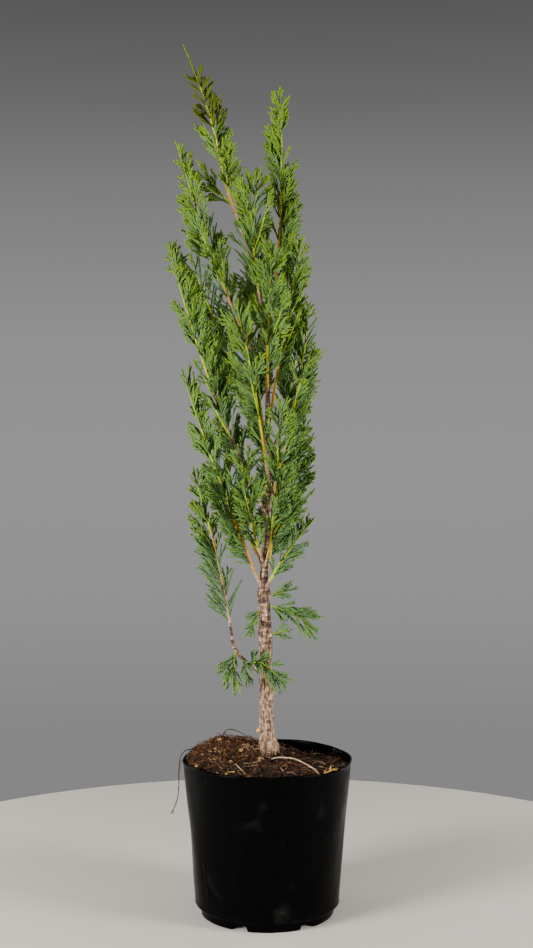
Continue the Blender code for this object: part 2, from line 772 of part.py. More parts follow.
def twig_with_blades(space, name, chance, root, stem_direction, turn, lean, length):
    """A side twig with a blade on its tip and others beside it, or one blade where none is free."""
    twig_lean = lean * TWIG_LEAN / SPRAY_LEAN
    ways = [leaning(stem_direction, turn + step * TURN_STEP, twig_lean) for step in range(TURNS_TRIED)]
    reaches = [length * share for share in LENGTHS_TRIED]
    candidates = (twig_at(root, way, stem_direction, reach) for reach in reaches for way in ways)
    twig = first_free(space, name, candidates)
    if twig:
        bearer = space.taken[name][-1]
        path = twig.path
        tip = path.point(path.length - ROOT_SUNK)
        onward = path.direction(path.length)
        at_tip = blades_from(space, name, chance, tip, onward, turn, 0.0, length * TERMINAL_SHARE, bearer)
        if at_tip:
            beside = []
            for count, share in enumerate(BLADES_ON_TWIG):
                place = path.point(share * path.length)
                onward = path.direction(share * path.length)
                reach = length * BLADE_SHARE * (1 - share * TWIG_THINNING)
                side_turn = turn + count * math.pi
                beside += blades_from(space, name, chance, place, onward, side_turn, lean, reach, bearer)
            return [twig, *at_tip, *beside]
        space.taken[name].pop()
    return blades_from(space, name, chance, root, stem_direction, turn, lean, length * BLADE_SHARE)


def sprays_along(limb, path, start, end, space):
    """Every spray of a mass, from the foot of its stem to the blade on its tip."""
    chance = random.Random(limb.name)
    lean = SPRAY_LEAN * limb.lean
    tip = path.point(end - ROOT_SUNK)
    tip_length = max(path.length - end, SHORTEST_BLADE) + ROOT_SUNK
    grown = blades_from(space, limb.name, chance, tip, path.direction(end), 0.0, 0.0, tip_length)
    turn = chance.uniform(0, math.tau)
    places = np.arange(start + FIRST_SPRAY, end - LAST_SPRAY, SPRAY_STEP).tolist()
    for count, place in enumerate(places):
        share = (place - start) / (end - start)
        length = limb.long + (limb.short - limb.long) * share**limb.shortening
        turn += GOLDEN_TURN
        grow = twig_with_blades
        if count % TWIG_EVERY or length < SHORTEST_TWIG:
            grow = blades_from
            length *= BLADE_SHARE
        length *= chance.uniform(*LENGTH_VARIES)
        grown += grow(space, limb.name, chance, path.point(place), path.direction(place), turn, lean, length)
    return grown


def make_boughs(space, paths, feet, look):
    """Every limb's path, and a solid for the bare part of each."""
    for limb in LIMBS:
        parent = paths[limb.parent]
        path = limb_path(limb, parent)
        cut = foot_cut(limb, path, parent)
        bare_end = max(limb.bare * path.length, cut.distance)
        paths[limb.name] = path
        feet[limb.name] = (cut, bare_end)
        if limb.bare:
            space.add_limb(path, cut.distance, bare_end)
            places = places_along(cut.distance, bare_end, BOUGH_STEP)
            placed(f"bough_{limb.name}", tube(limb.name, path, places, BOUGH_SIDES, cut), look)
        if limb.bare < 1:
            space.add_stem(limb.name, path, bare_end)


def make_foliage(limb, path, cut, bare_end, space, look):
    """The mass on one limb: its stem, a gap off the bough or the trunk, and the sprays fused to it."""
    start = bare_end + (GAP if limb.bare else 0.0)
    end = path.length - TIP_SHARE * limb.short
    places = places_along(start, end, STEM_STEP)
    stem = tube(limb.name, path, places, TWIG_SIDES, None if limb.bare else cut)
    foliage = placed(f"foliage_{limb.name}", stem, look)
    grown = sprays_along(limb, path, start, end, space)
    fuse(foliage, [piece.mesh(f"{limb.name}_{i}") for i, piece in enumerate(grown)])


def main():
    for obj in list(bpy.data.objects):
        bpy.data.objects.remove(obj, do_unlink=True)
    bark = material("bark", BARK)
    green = material("foliage", FOLIAGE)
    make_pot(material("pot_plastic", PLASTIC))
    make_soil(material("potting_mix", MIX))

    trunk = trunk_path()
    make_trunk(trunk, bark)
    space = Space()
    space.add_limb(trunk, 0.0, trunk.length)
    paths = {"trunk": trunk}
    feet = {}
    make_boughs(space, paths, feet, bark)
    for limb in LIMBS:
        if limb.bare < 1:
            make_foliage(limb, paths[limb.name], *feet[limb.name], space, green)


main()
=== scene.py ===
# %% [markdown]
# # A young columnar juniper in its nursery pot
#
# The plant is dressed around a fixed frame of plain solids: a pot, its potting mix, a trunk, boughs
# and masses of foliage. The frame is loaded first, because every piece below is placed by it.

import json
import math
import random
from dataclasses import dataclass

import bmesh
import bpy
import numpy as np
from mathutils import Matrix, Vector, kdtree, noise

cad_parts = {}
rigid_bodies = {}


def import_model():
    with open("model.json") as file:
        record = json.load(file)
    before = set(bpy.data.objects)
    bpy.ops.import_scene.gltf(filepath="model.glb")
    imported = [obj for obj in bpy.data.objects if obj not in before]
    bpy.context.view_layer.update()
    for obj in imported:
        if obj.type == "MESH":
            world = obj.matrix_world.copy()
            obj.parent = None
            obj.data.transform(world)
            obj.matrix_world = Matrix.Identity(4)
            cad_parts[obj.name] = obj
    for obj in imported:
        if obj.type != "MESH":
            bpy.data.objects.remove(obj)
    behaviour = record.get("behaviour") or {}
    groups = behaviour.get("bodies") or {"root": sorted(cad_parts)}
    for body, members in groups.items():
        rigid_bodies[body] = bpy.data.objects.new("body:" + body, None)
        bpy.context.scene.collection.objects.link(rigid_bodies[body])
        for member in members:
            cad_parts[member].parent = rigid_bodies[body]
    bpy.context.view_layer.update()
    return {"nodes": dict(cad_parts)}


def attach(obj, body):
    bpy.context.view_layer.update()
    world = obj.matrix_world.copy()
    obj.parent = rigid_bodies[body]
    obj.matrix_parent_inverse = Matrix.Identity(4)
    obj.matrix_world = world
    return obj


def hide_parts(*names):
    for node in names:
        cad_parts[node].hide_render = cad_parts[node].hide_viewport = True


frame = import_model()
BODY = "root"
nodes = sorted(frame["nodes"])
foliage_nodes = [name for name in nodes if name.startswith("foliage_")]
bough_nodes = [name for name in nodes if name.startswith("bough_")]
print(f"{len(nodes)} nodes, {len(bough_nodes)} boughs, {len(foliage_nodes)} masses of foliage")

# %% [markdown]
# ## The view
#
# A long lens from a little above half the plant's height keeps its outline straight. The camera
# looks down by two degrees, so the pot's rim shows as a thin ellipse with the potting mix in it.

# %% The camera
LENS = 55.06  # millimetres
EYE = (-0.0006, -1.4136, 0.4818)
LOOKS_DOWN = 2.08  # degrees


def in_scene(name, data):
    """A new object with this data, in the scene."""
    made = bpy.data.objects.new(name, data)
    bpy.context.scene.collection.objects.link(made)
    return made


camera = in_scene("view", bpy.data.cameras.new("view"))
camera.data.lens = LENS
camera.location = EYE
camera.rotation_euler = (math.radians(90 - LOOKS_DOWN), 0.0, 0.0)
bpy.context.scene.camera = camera

# %% [markdown]
# ## Materials
#
# Every finish starts from the same small recipe: a Principled shader with its plain values set on
# its own sockets. A pattern is then linked into the sockets that it varies. It is noise over the
# piece, or a value stored on its mesh. Each helper returns an output that the next one can take.

# %% Helpers for materials
def finish(name, colour=(0.5, 0.5, 0.5), roughness=0.6, **sockets):
    """A Principled material with plain values. Returns it with its nodes, its links and its shader."""
    made = bpy.data.materials.new(name)
    made.use_nodes = True
    tree = made.node_tree
    shader = tree.nodes["Principled BSDF"]
    shader.inputs["Base Color"].default_value = (*colour, 1.0)
    shader.inputs["Roughness"].default_value = roughness
    for socket, value in sockets.items():
        shader.inputs[socket.replace("_", " ")].default_value = value
    return made, tree, shader


def add(tree, kind, inputs=None, **settings):
    """A node of this kind. A tuple of a node and an output's name is linked, and the rest are values."""
    node = tree.nodes.new(kind)
    for name, value in settings.items():
        setattr(node, name, value)
    for socket, value in (inputs or {}).items():
        if isinstance(value, bpy.types.NodeSocket):
            tree.links.new(value, node.inputs[socket])
        else:
            node.inputs[socket].default_value = value
    return node


def noise_over(tree, scale, detail, stretch=None):
    """Noise in the piece's own space, which is multiplied by the stretch first."""
    spot = add(tree, "ShaderNodeTexCoord").outputs["Object"]
    if stretch:
        spot = add(tree, "ShaderNodeMapping", {"Vector": spot, "Scale": stretch}).outputs[0]
    return add(tree, "ShaderNodeTexNoise", {"Vector": spot, "Scale": scale, "Detail": detail}).outputs["Fac"]


def stored(tree, name):
    """A number that the mesh keeps on its corners."""
    return add(tree, "ShaderNodeAttribute", attribute_name=name).outputs["Fac"]


def maths(tree, operation, *values):
    return add(tree, "ShaderNodeMath", dict(enumerate(values)), operation=operation).outputs[0]


def carried(tree, value, low, high, new_low=0.0, new_high=1.0):
    """A value, with the range from low to high carried to a new range."""
    ranges = {0: value, 1: low, 2: high, 3: new_low, 4: new_high}
    return add(tree, "ShaderNodeMapRange", ranges).outputs[0]


def coloured(tree, value, stops):
    """The colour for this value on a ramp. The first and last places stand for the ramp's two ends."""
    ramp = add(tree, "ShaderNodeValToRGB", {0: value})
    elements = ramp.color_ramp.elements
    first, last = stops[0][0], stops[-1][0]
    while len(elements) < len(stops):
        elements.new(0.5)
    for element, (place, colour) in zip(elements, stops):
        element.position = (place - first) / (last - first)
        element.color = (*colour, 1.0)
    return ramp.outputs[0]


def emboss(tree, shader, height, strength, distance):
    bump = add(tree, "ShaderNodeBump", {"Strength": strength, "Distance": distance, "Height": height})
    tree.links.new(bump.outputs["Normal"], shader.inputs["Normal"])

# %% [markdown]
# ## Light and floor
#
# A grey backdrop that darkens upwards, two tall soft lights at the sides and a weak one above. Two
# low, narrow lights behind the pot draw the pale upright glints at the edges of its black wall.

# %% The stage
FLOOR_RADIUS = 0.53
FLOOR_DEPTH = 0.004
# how far the view looks up, as the height of its unit direction, and how light the backdrop is there
BACKDROP = (
    (-0.21, 0.250), (-0.12, 0.310), (-0.03, 0.330), (0.06, 0.298), (0.15, 0.218), (0.215, 0.146),
    (0.29, 0.092),
)
BACKDROP_TINT = (1.005, 0.985, 0.985)
# each light's place, what it points at, its width and height in metres, and its power in watts
LIGHTS = {
    "left_softbox": ((-1.2, -0.95, 0.52), (0, 0, 0.34), (0.55, 1.1), 62),
    "right_softbox": ((1.25, -0.6, 0.45), (0, 0, 0.34), (0.45, 1.1), 38),
    "top_softbox": ((0.0, -0.1, 1.9), (0, 0, 0.4), (0.7, 0.7), 3),
    "left_edge": ((-0.95, 0.45, 0.12), (0, 0, 0.08), (0.10, 0.40), 5),
    "right_edge": ((0.95, 0.50, 0.12), (0, 0, 0.08), (0.10, 0.40), 5),
}


def make_floor():
    """A plain pale disc, whose top is level with the pot's underside."""
    bm = bmesh.new()
    bmesh.ops.create_cone(
        bm, cap_ends=True, segments=160, radius1=FLOOR_RADIUS, radius2=FLOOR_RADIUS, depth=FLOOR_DEPTH
    )
    made = in_scene("floor", bpy.data.meshes.new("floor"))
    bm.to_mesh(made.data)
    bm.free()
    made.location.z = -FLOOR_DEPTH / 2
    made.data.materials.append(finish("pale_floor", (0.66, 0.60, 0.53), 0.85)[0])


def make_backdrop():
    world = bpy.data.worlds.new("backdrop")
    world.use_nodes = True
    bpy.context.scene.world = world
    tree = world.node_tree
    direction = add(tree, "ShaderNodeTexCoord").outputs["Generated"]
    rise = add(tree, "ShaderNodeSeparateXYZ", {0: direction}).outputs["Z"]
    stops = [(height, [grey * share for share in BACKDROP_TINT]) for height, grey in BACKDROP]
    colour = coloured(tree, carried(tree, rise, BACKDROP[0][0], BACKDROP[-1][0]), stops)
    tree.links.new(colour, tree.nodes["Background"].inputs[0])
    tree.nodes["Background"].inputs[1].default_value = 1.0


def make_light(name, place, aim, size, power):
    light = in_scene(name, bpy.data.lights.new(name, "AREA"))
    light.data.shape = "RECTANGLE"
    light.data.size, light.data.size_y = size
    light.data.energy = power
    light.location = place
    light.rotation_euler = (Vector(aim) - Vector(place)).to_track_quat("-Z", "Y").to_euler()


make_floor()
make_backdrop()
for name, (place, aim, size, power) in LIGHTS.items():
    make_light(name, place, aim, size, power)
print(f"The stage has a floor {2 * FLOOR_RADIUS:.2f} m across and {len(LIGHTS)} lights")

# %% [markdown]
# ## Where the limbs run
#
# The trunk and every limb are lines with a radius at each point. The trunk is a table of stations
# measured up the plant. A limb is much simpler: it leaves its parent at a height, bends through an
# elbow and ends at a tip, so one curve with three points describes it. Everything that grows later,
# down to the last cord of scale leaves, is placed along these lines.

# %% Lines with a radius
STEM_TIP_RADIUS = 0.0006
LIMB_POINTS = 33
GAP = 0.00035  # between a limb's foot and its parent's surface
DIRECTION_REACH = 0.0015  # how far to both sides of a place its direction is measured


@dataclass
class Path:
    """A line of points with a radius at each, read by the distance along it."""

    points: np.ndarray
    radii: np.ndarray

    def __post_init__(self):
        steps = np.linalg.norm(np.diff(self.points, axis=0), axis=1)
        self.marks = np.concatenate([[0.0], np.cumsum(steps)])
        self.length = float(self.marks[-1])

    def point(self, distance):
        return Vector([np.interp(distance, self.marks, self.points[:, axis]) for axis in range(3)])

    def radius(self, distance):
        return float(np.interp(distance, self.marks, self.radii))

    def direction(self, distance):
        start = min(max(distance - DIRECTION_REACH, 0.0), self.length - 2 * DIRECTION_REACH)
        return (self.point(start + 2 * DIRECTION_REACH) - self.point(start)).normalized()

    def distance_at_height(self, height):
        return float(np.interp(height, self.points[:, 2], self.marks))

    def dense(self, start=0.0, step=0.002):
        """Points every step or so from start to the end, with the radius at each."""
        count = max(2, math.ceil((self.length - start) / step) + 1)
        places = np.linspace(start, self.length, count)
        return np.array([self.point(place) for place in places]), np.interp(places, self.marks, self.radii)


def curved_path(start, control, tip, radius, count):
    """A tapering curve that sets off towards the control point and ends coming from it."""
    share = np.linspace(0, 1, count)[:, None]
    points = (1 - share) ** 2 * start + 2 * share * (1 - share) * control + share**2 * tip
    return Path(points, radius + (STEM_TIP_RADIUS - radius) * share[:, 0])


def axes_across(direction):
    """Two directions square to this one and to each other."""
    guide = Vector((0, 1, 0)) if abs(direction.y) < 0.8 else Vector((1, 0, 0))
    side = direction.cross(guide).normalized()
    return side, direction.cross(side)


def leaning(direction, turn, lean):
    """A direction that leans out from this one, towards the given turn round it."""
    side, other = axes_across(direction)
    outward = math.cos(turn) * side + math.sin(turn) * other
    return (math.cos(lean) * direction + math.sin(lean) * outward).normalized()

# %% The trunk and its limbs
# height, x, y and radius of the trunk, from the flat cut on the potting mix to the end of its wood
TRUNK_STATIONS = (
    (0.1530, 0.0010, 0.0080, 0.0100),
    (0.1640, 0.0004, 0.0076, 0.0086),
    (0.1770, -0.0004, 0.0072, 0.0070),
    (0.2040, -0.0010, 0.0068, 0.0065),
    (0.2170, -0.0004, 0.0066, 0.0071),
    (0.2360, -0.0014, 0.0063, 0.0063),
    (0.2680, -0.0012, 0.0058, 0.0064),
    (0.2990, -0.0028, 0.0054, 0.0056),
    (0.3130, -0.0036, 0.0052, 0.0062),
    (0.3260, -0.0034, 0.0050, 0.0040),
    (0.3700, -0.0004, 0.0050, 0.0033),
    (0.4140, 0.0018, 0.0050, 0.0028),
    (0.4700, 0.0002, 0.0050, 0.0025),
    (0.5200, 0.0008, 0.0048, 0.0023),
    (0.5700, -0.0022, 0.0040, 0.0021),
    (0.6200, -0.0096, 0.0024, 0.0019),
    (0.6640, -0.0232, 0.0005, 0.0017),
    (0.7000, -0.0370, 0.0000, 0.0015),
    (0.7260, -0.0436, 0.0000, 0.0013),
)
trunk_table = np.array(TRUNK_STATIONS)
trunk_path = Path(trunk_table[:, [1, 2, 0]], trunk_table[:, 3])


@dataclass
class Limb:
    """A limb from its parent's surface, through an elbow halfway along, to its tip.

    bare is the share of its length that is a bare bough. long and short are the lengths of its
    sprays at the foot and at the tip of its foliage. lean scales how far they stand out. They
    shorten evenly where shortening is 1, and mostly near the tip where it is more.
    """

    name: str
    leaves_at: float
    elbow: tuple
    tip: tuple
    bare: float
    radius: float
    long: float = 0.0
    short: float = 0.0
    lean: float = 1.0
    shortening: float = 2.0

    @property
    def parent(self):
        return "stray_arm" if self.name in ON_STRAY_ARM else "trunk"


ON_STRAY_ARM = ("stray", "stray_droop", "stray_fall", "stray_cross")
# the fields above, in their order
LIMB_ROWS = (
    ("leader_top", 0.726, (-0.0578, 0, 0.785), (-0.0824, 0, 0.8485), 0.0, 0.0011, 0.034, 0.005, 1.0, 1.0),
    ("leader_left", 0.69, (-0.0495, -0.004, 0.708), (-0.0635, -0.01, 0.73), 0.0, 0.001, 0.034, 0.02),
    ("leader_crest", 0.7, (-0.0385, -0.006, 0.723), (-0.0405, -0.009, 0.748), 0.0, 0.0011, 0.026, 0.015),
    ("leader_right", 0.64, (-0.0125, -0.005, 0.685), (-0.008, -0.008, 0.724), 0.0, 0.0012, 0.036, 0.018),
    ("right_leader", 0.552, (0.013, 0.008, 0.675), (0.0114, 0.003, 0.803), 0.18, 0.0019, 0.04, 0.012, 0.9),
    ("left_high", 0.522, (-0.043, -0.013, 0.616), (-0.088, -0.004, 0.752), 0.18, 0.0018, 0.044, 0.01),
    ("left_inner", 0.462, (-0.039, 0.023, 0.55), (-0.076, 0.019, 0.645), 0.18, 0.0017, 0.042, 0.018),
    ("left_outer", 0.386, (-0.052, -0.016, 0.512), (-0.0955, -0.006, 0.654), 0.17, 0.0018, 0.044, 0.016),
    ("left_low", 0.314, (-0.044, -0.016, 0.42), (-0.083, -0.008, 0.533), 0.12, 0.0019, 0.046, 0.024, 0.9),
    ("stray_arm", 0.232, (-0.0235, 0, 0.249), (-0.0335, -0.003, 0.266), 1.0, 0.0017),
    ("stray", 0.266, (-0.049, -0.005, 0.351), (-0.0725, -0.006, 0.434), 0.1, 0.0015, 0.036, 0.018, 0.9),
    ("right_high", 0.47, (0.0155, -0.011, 0.56), (0.0345, -0.012, 0.659), 0.18, 0.0017, 0.042, 0.018),
    ("right_outer", 0.396, (0.0262, -0.008, 0.492), (0.041, -0.006, 0.596), 0.18, 0.0018, 0.042, 0.016),
    ("right_middle", 0.352, (0.0225, 0.008, 0.412), (0.037, 0.004, 0.485), 0.18, 0.0016, 0.036, 0.022),
    ("right_low", 0.313, (0.0175, -0.006, 0.351), (0.0456, -0.007, 0.387), 0.18, 0.0018, 0.028, 0.016),
    ("front_left", 0.342, (-0.0175, -0.022, 0.401), (-0.016, -0.027, 0.464), 0.1, 0.0015, 0.042, 0.026),
    ("front_right", 0.336, (0.009, -0.021, 0.41), (0.0105, -0.027, 0.504), 0.16, 0.0015, 0.042, 0.026),
    ("front_middle", 0.424, (-0.0115, -0.025, 0.509), (-0.0298, -0.027, 0.596), 0.16, 0.0016, 0.042, 0.024),
    ("front_high", 0.5, (0.001, -0.024, 0.576), (0.005, -0.027, 0.654), 0.12, 0.0015, 0.042, 0.024),
    ("front_top", 0.59, (-0.013, -0.014, 0.652), (-0.0175, -0.015, 0.723), 0.15, 0.0013, 0.04, 0.022),
    ("back_low", 0.318, (0.008, 0.033, 0.388), (0.014, 0.042, 0.474), 0.18, 0.0018, 0.048, 0.028),
    ("back_left", 0.338, (-0.03, 0.029, 0.4), (-0.05, 0.036, 0.49), 0.18, 0.0018, 0.048, 0.028),
    ("back_middle", 0.42, (-0.008, 0.036, 0.51), (-0.018, 0.042, 0.606), 0.18, 0.0017, 0.046, 0.026),
    ("back_right", 0.44, (0.026, 0.028, 0.53), (0.035, 0.029, 0.628), 0.18, 0.0017, 0.046, 0.026),
    ("back_high", 0.54, (-0.01, 0.028, 0.616), (-0.022, 0.028, 0.7), 0.18, 0.0015, 0.042, 0.022),
    ("stray_droop", 0.257, (-0.0335, -0.01, 0.242), (-0.031, -0.014, 0.216), 0.0, 0.001, 0.024, 0.022, 1.1),
    ("stray_fall", 0.2485, (-0.0215, -0.012, 0.241), (-0.0165, -0.015, 0.224), 0.0, 0.0009, 0.018, 0.016),
    ("stray_cross", 0.242, (-0.003, -0.014, 0.246), (0.019, -0.016, 0.223), 0.0, 0.0009, 0.022, 0.02),
    ("low_right_top", 0.311, (0.013, 0.001, 0.314), (0.029, -0.001, 0.321), 0.0, 0.0009, 0.018, 0.018),
    ("low_right", 0.301, (0.025, -0.002, 0.294), (0.051, -0.005, 0.275), 0.0, 0.0009, 0.028, 0.024),
    ("low_right_foot", 0.272, (0.012, 0.001, 0.275), (0.024, 0, 0.279), 0.0, 0.0008, 0.016, 0.016),
    ("low_left", 0.3, (-0.011, 0.001, 0.29), (-0.0155, 0, 0.27), 0.0, 0.0008, 0.015, 0.015),
)
LIMBS = [Limb(*row) for row in LIMB_ROWS]


def limb_path(limb, parent):
    """The curve from the middle of the parent through the elbow to the tip."""
    start = np.array(parent.point(parent.distance_at_height(limb.leaves_at)))
    tip = np.array(limb.tip)
    control = 2 * np.array(limb.elbow) - (start + tip) / 2
    return curved_path(start, control, tip, limb.radius, LIMB_POINTS)


paths = {"trunk": trunk_path}
for limb in LIMBS:
    paths[limb.name] = limb_path(limb, paths[limb.parent])
print(f"{len(LIMBS)} limbs, {sum(path.length for path in paths.values()):.2f} m of stem")

# %% [markdown]
# ## Room to grow
#
# Real branches avoid each other because each grows towards the light. The rule here is simpler and
# has the same effect: a spray may only fill space that lies nearer to its own stem than to any other,
# and it keeps clear of the wood and of the sprays before it. A tree of points answers the question
# of what lies nearest in a few millionths of a second, so thousands of places can be tried.

# %% The test for free space
SPACE_MARGIN = 0.0030  # between the sprays of two masses
LIMB_CLEARANCE = 0.0019
BLADE_CLEARANCE = 0.0026  # between two sprays of one mass
# height of the crown, and how far it reaches to the left and to the right there
CROWN_REACH = np.array((
    (0.195, -0.062, 0.040), (0.240, -0.062, 0.058), (0.330, -0.080, 0.058), (0.353, -0.080, 0.050),
    (0.375, -0.079, 0.047), (0.411, -0.077, 0.050), (0.430, -0.075, 0.048), (0.480, -0.079, 0.044),
    (0.505, -0.080, 0.047), (0.530, -0.084, 0.054), (0.557, -0.086, 0.052), (0.582, -0.095, 0.048),
    (0.605, -0.094, 0.046), (0.636, -0.099, 0.044), (0.655, -0.098, 0.041), (0.690, -0.089, 0.037),
    (0.717, -0.086, 0.031), (0.758, -0.089, 0.026), (0.775, -0.077, 0.022), (0.806, -0.080, 0.016),
    (0.812, -0.082, -0.050), (0.845, -0.086, -0.072),
))
CROWN_DEPTH = 0.85  # how deep the crown is from front to back, as a share of its width
CROWN_SLACK = 1.05  # how far past the outline a point may lie, as a share of its squared reach


def in_crown(samples):
    """Whether all these points lie within the crown's outline, which is an ellipse at each height."""
    heights, lefts, rights = CROWN_REACH.T
    left = np.interp(samples[:, 2], heights, lefts)
    right = np.interp(samples[:, 2], heights, rights)
    half = (right - left) / 2
    across = (samples[:, 0] - (left + right) / 2) / half
    deep = samples[:, 1] / (half * CROWN_DEPTH)
    return bool((across**2 + deep**2 <= CROWN_SLACK).all()) and samples[:, 2].max() <= heights[-1]


# x, height, half width and half height of each opening through the crown, as the front view shows it
SIGHT_GAPS = np.array((
    (-0.0090, 0.695, 0.0080, 0.022), (-0.0420, 0.684, 0.0120, 0.016), (-0.0270, 0.647, 0.0070, 0.024),
    (-0.0635, 0.630, 0.0045, 0.014), (-0.0515, 0.603, 0.0045, 0.019), (-0.0265, 0.548, 0.0035, 0.009),
    (0.0273, 0.546, 0.0035, 0.010), (0.0257, 0.591, 0.0030, 0.008), (-0.0345, 0.482, 0.0050, 0.015),
    (0.0117, 0.472, 0.0070, 0.018), (-0.0445, 0.448, 0.0045, 0.010), (-0.0318, 0.430, 0.0045, 0.011),
    (0.0450, 0.572, 0.0055, 0.012), (-0.0270, 0.318, 0.0120, 0.026),
))


def shuts_a_gap(*spots):
    """Whether any of these points would fill an opening, as seen from the front."""
    samples, eye = np.array(spots), camera.location
    nearer = eye.y / (eye.y - samples[:, 1])
    across = eye.x + (samples[:, 0] - eye.x) * nearer
    height = eye.z + (samples[:, 2] - eye.z) * nearer
    x, z, wide, tall = (column[:, None] for column in SIGHT_GAPS.T)
    return bool((((across - x) / wide) ** 2 + ((height - z) / tall) ** 2 < 1).any())


def tree_of(points):
    tree = kdtree.KDTree(len(points))
    for index, point in enumerate(points):
        tree.insert(point, index)
    tree.balance()
    return tree


def gaps_to(tree, samples):
    """The distance from each sample to the nearest point of the tree."""
    return np.array([tree.find(sample)[2] for sample in samples])


class Space:
    """Where every limb and every mass's stem lies, which keeps the masses out of each other's way."""

    def __init__(self):
        self.stems = {}
        self.wood = []
        self.taken = {}

    def add_limb(self, path, start, end):
        points, radii = path.dense()
        marks = np.linspace(0.0, path.length, len(points))
        kept = (marks >= start) & (marks <= end)
        self.wood.append((points[kept], radii[kept]))

    def add_stem(self, name, path, start):
        self.stems[name] = path.dense(start)[0]
        self.taken[name] = []

    def settle(self):
        """Builds the trees once every stem is known."""
        self.own = {name: tree_of(points) for name, points in self.stems.items()}
        self.others = {
            name: tree_of(np.concatenate([points for other, points in self.stems.items() if other != name]))
            for name in self.stems
        }
        self.wood_points = np.concatenate([points for points, _ in self.wood])
        self.wood_radii = np.concatenate([radii for _, radii in self.wood])

    def is_free(self, name, samples, bearer=None, margin=SPACE_MARGIN, clearance=BLADE_CLEARANCE):
        """Whether these points keep to the mass's space and clear of all but what bears them."""
        if not in_crown(samples):
            return False
        if (gaps_to(self.others[name], samples) - gaps_to(self.own[name], samples) < margin).any():
            return False
        apart = np.linalg.norm(samples[:, None] - self.wood_points[None], axis=2) - self.wood_radii
        if (apart < LIMB_CLEARANCE).any():
            return False
        others = [near for near in self.taken[name] if near is not bearer]
        if not others:
            return True
        near = np.concatenate(others)
        return float(((samples[:, None] - near[None]) ** 2).sum(axis=2).min()) > clearance**2


bare_ends = {}  # how far along each limb its bare bough ends
space = Space()
space.add_limb(trunk_path, 0.0, trunk_path.length)
for limb in LIMBS:
    path, parent = paths[limb.name], paths[limb.parent]
    surface = parent.radius(parent.distance_at_height(limb.leaves_at)) + GAP
    bare_ends[limb.name] = max(limb.bare * path.length, surface)
    if limb.bare:
        space.add_limb(path, surface, bare_ends[limb.name])
    if limb.bare < 1:
        space.add_stem(limb.name, path, bare_ends[limb.name])
space.settle()
print(f"{len(space.stems)} stems for foliage, {len(space.wood_points)} points of wood to keep clear of")

# %% [markdown]
# ## Placing the sprays
#
# Sprays leave a stem one after another, each turned from the last by the golden angle, which is how
# shoots on real stems avoid shading each other. One in three is a side twig that bears sprays of its
# own. Each spray is planned as a flat blade with a root, a direction and a width, and is only
# accepted where the blade is free. The cords of scale leaves are grown into the plan afterwards.

# %% Plans for sprays
FIRST_SPRAY = 0.005
SPRAY_STEP = 0.0113
SPRAY_LEAN = math.radians(36)
TWIG_LEAN = math.radians(27)
GOLDEN_TURN = math.radians(137.5)
TWIG_EVERY = 3
SHORTEST_TWIG = 0.034
TWIG_RADIUS = 0.0008
TWIG_UPTURN = 0.25  # how far a twig turns to its stem's direction, as a share
TWIG_POINTS = 5
TWIG_SAMPLE_STEP = 0.004
BLADES_ON_TWIG = (0.28, 0.60)  # shares of a twig's length at which blades leave it
BLADE_SHARE = 0.80  # of the usual length, where a blade stands in for a twig or leaves one
TWIG_THINNING = 0.4
TERMINAL_SHARE = 0.60  # of the usual length, for the blade on a twig's tip
FINGER_SPREAD = math.radians(37)
OUTER_FINGER = 0.76  # of the length of the middle one
SAMPLED_AT = (0.35, 0.55, 0.78, 1.0)
SAMPLED_TURNS = (-1.0, -0.5, 0.0, 0.5, 1.0)
MOST_ROLL = math.radians(66)
TURNS_TRIED = 7
TURN_STEP = math.radians(52)
LENGTH_VARIES = (0.9, 1.08)
LENGTHS_TRIED = (1.0, 0.78, 0.6)
SHORTEST_BLADE = 0.008
TIP_SHARE = 0.8  # of the shortest sprays' length, from the stem's end to the limb's tip
LAST_SPRAY = 0.004  # from a stem's end
ROOT_SUNK = 0.003  # how far a blade on a tip starts behind it


@dataclass
class Blade:
    """The plan of one flat spray, widest near its middle."""

    root: Vector
    direction: Vector
    width: Vector
    length: float

    def samples(self):
        """Points spread over the blade, clear of its root, that stand for it in tests of space."""
        found = []
        for share in SAMPLED_TURNS:
            turn = share * FINGER_SPREAD
            reach = self.length * (1 - (1 - OUTER_FINGER) * abs(share))
            way = math.cos(turn) * self.direction + math.sin(turn) * self.width
            found += [self.root + reach * at * way for at in SAMPLED_AT]
        return np.array(found)


@dataclass
class Twig:
    """A side twig that curves up towards the stem's own direction."""

    path: Path

    def samples(self):
        return self.path.dense(TWIG_SAMPLE_STEP, TWIG_SAMPLE_STEP)[0]


def blade_at(root, direction, roll, length):
    side, other = axes_across(direction)
    return Blade(root, direction, math.cos(roll) * side + math.sin(roll) * other, length)


def twig_at(root, direction, stem_direction, length):
    control = root + direction * length / 2
    onward = direction.lerp(stem_direction, TWIG_UPTURN).normalized()
    tip = control + onward * length / 2
    return Twig(curved_path(np.array(root), np.array(control), np.array(tip), TWIG_RADIUS, TWIG_POINTS))


def spray_length(limb, share):
    """How long a mass's sprays are at this share of its stem."""
    return limb.long + (limb.short - limb.long) * share**limb.shortening


def first_free(name, candidates, bearer=None, **limits):
    for candidate in candidates:
        samples = candidate.samples()
        if space.is_free(name, samples, bearer, **limits):
            space.taken[name].append(samples)
            return candidate
    return None


def blades_from(name, chance, root, stem_direction, turn, lean, length, bearer=None):
    """The first of several turns and lengths at which a blade is free of everything, if any."""
    candidates = (
        blade_at(
            root,
            leaning(stem_direction, turn + step * TURN_STEP, lean),
            chance.uniform(-MOST_ROLL, MOST_ROLL),
            length * share,
        )
        for share in LENGTHS_TRIED
        for step in range(TURNS_TRIED)
        if length * share >= SHORTEST_BLADE
    )
    found = first_free(name, candidates, bearer)
    return [found] if found else []


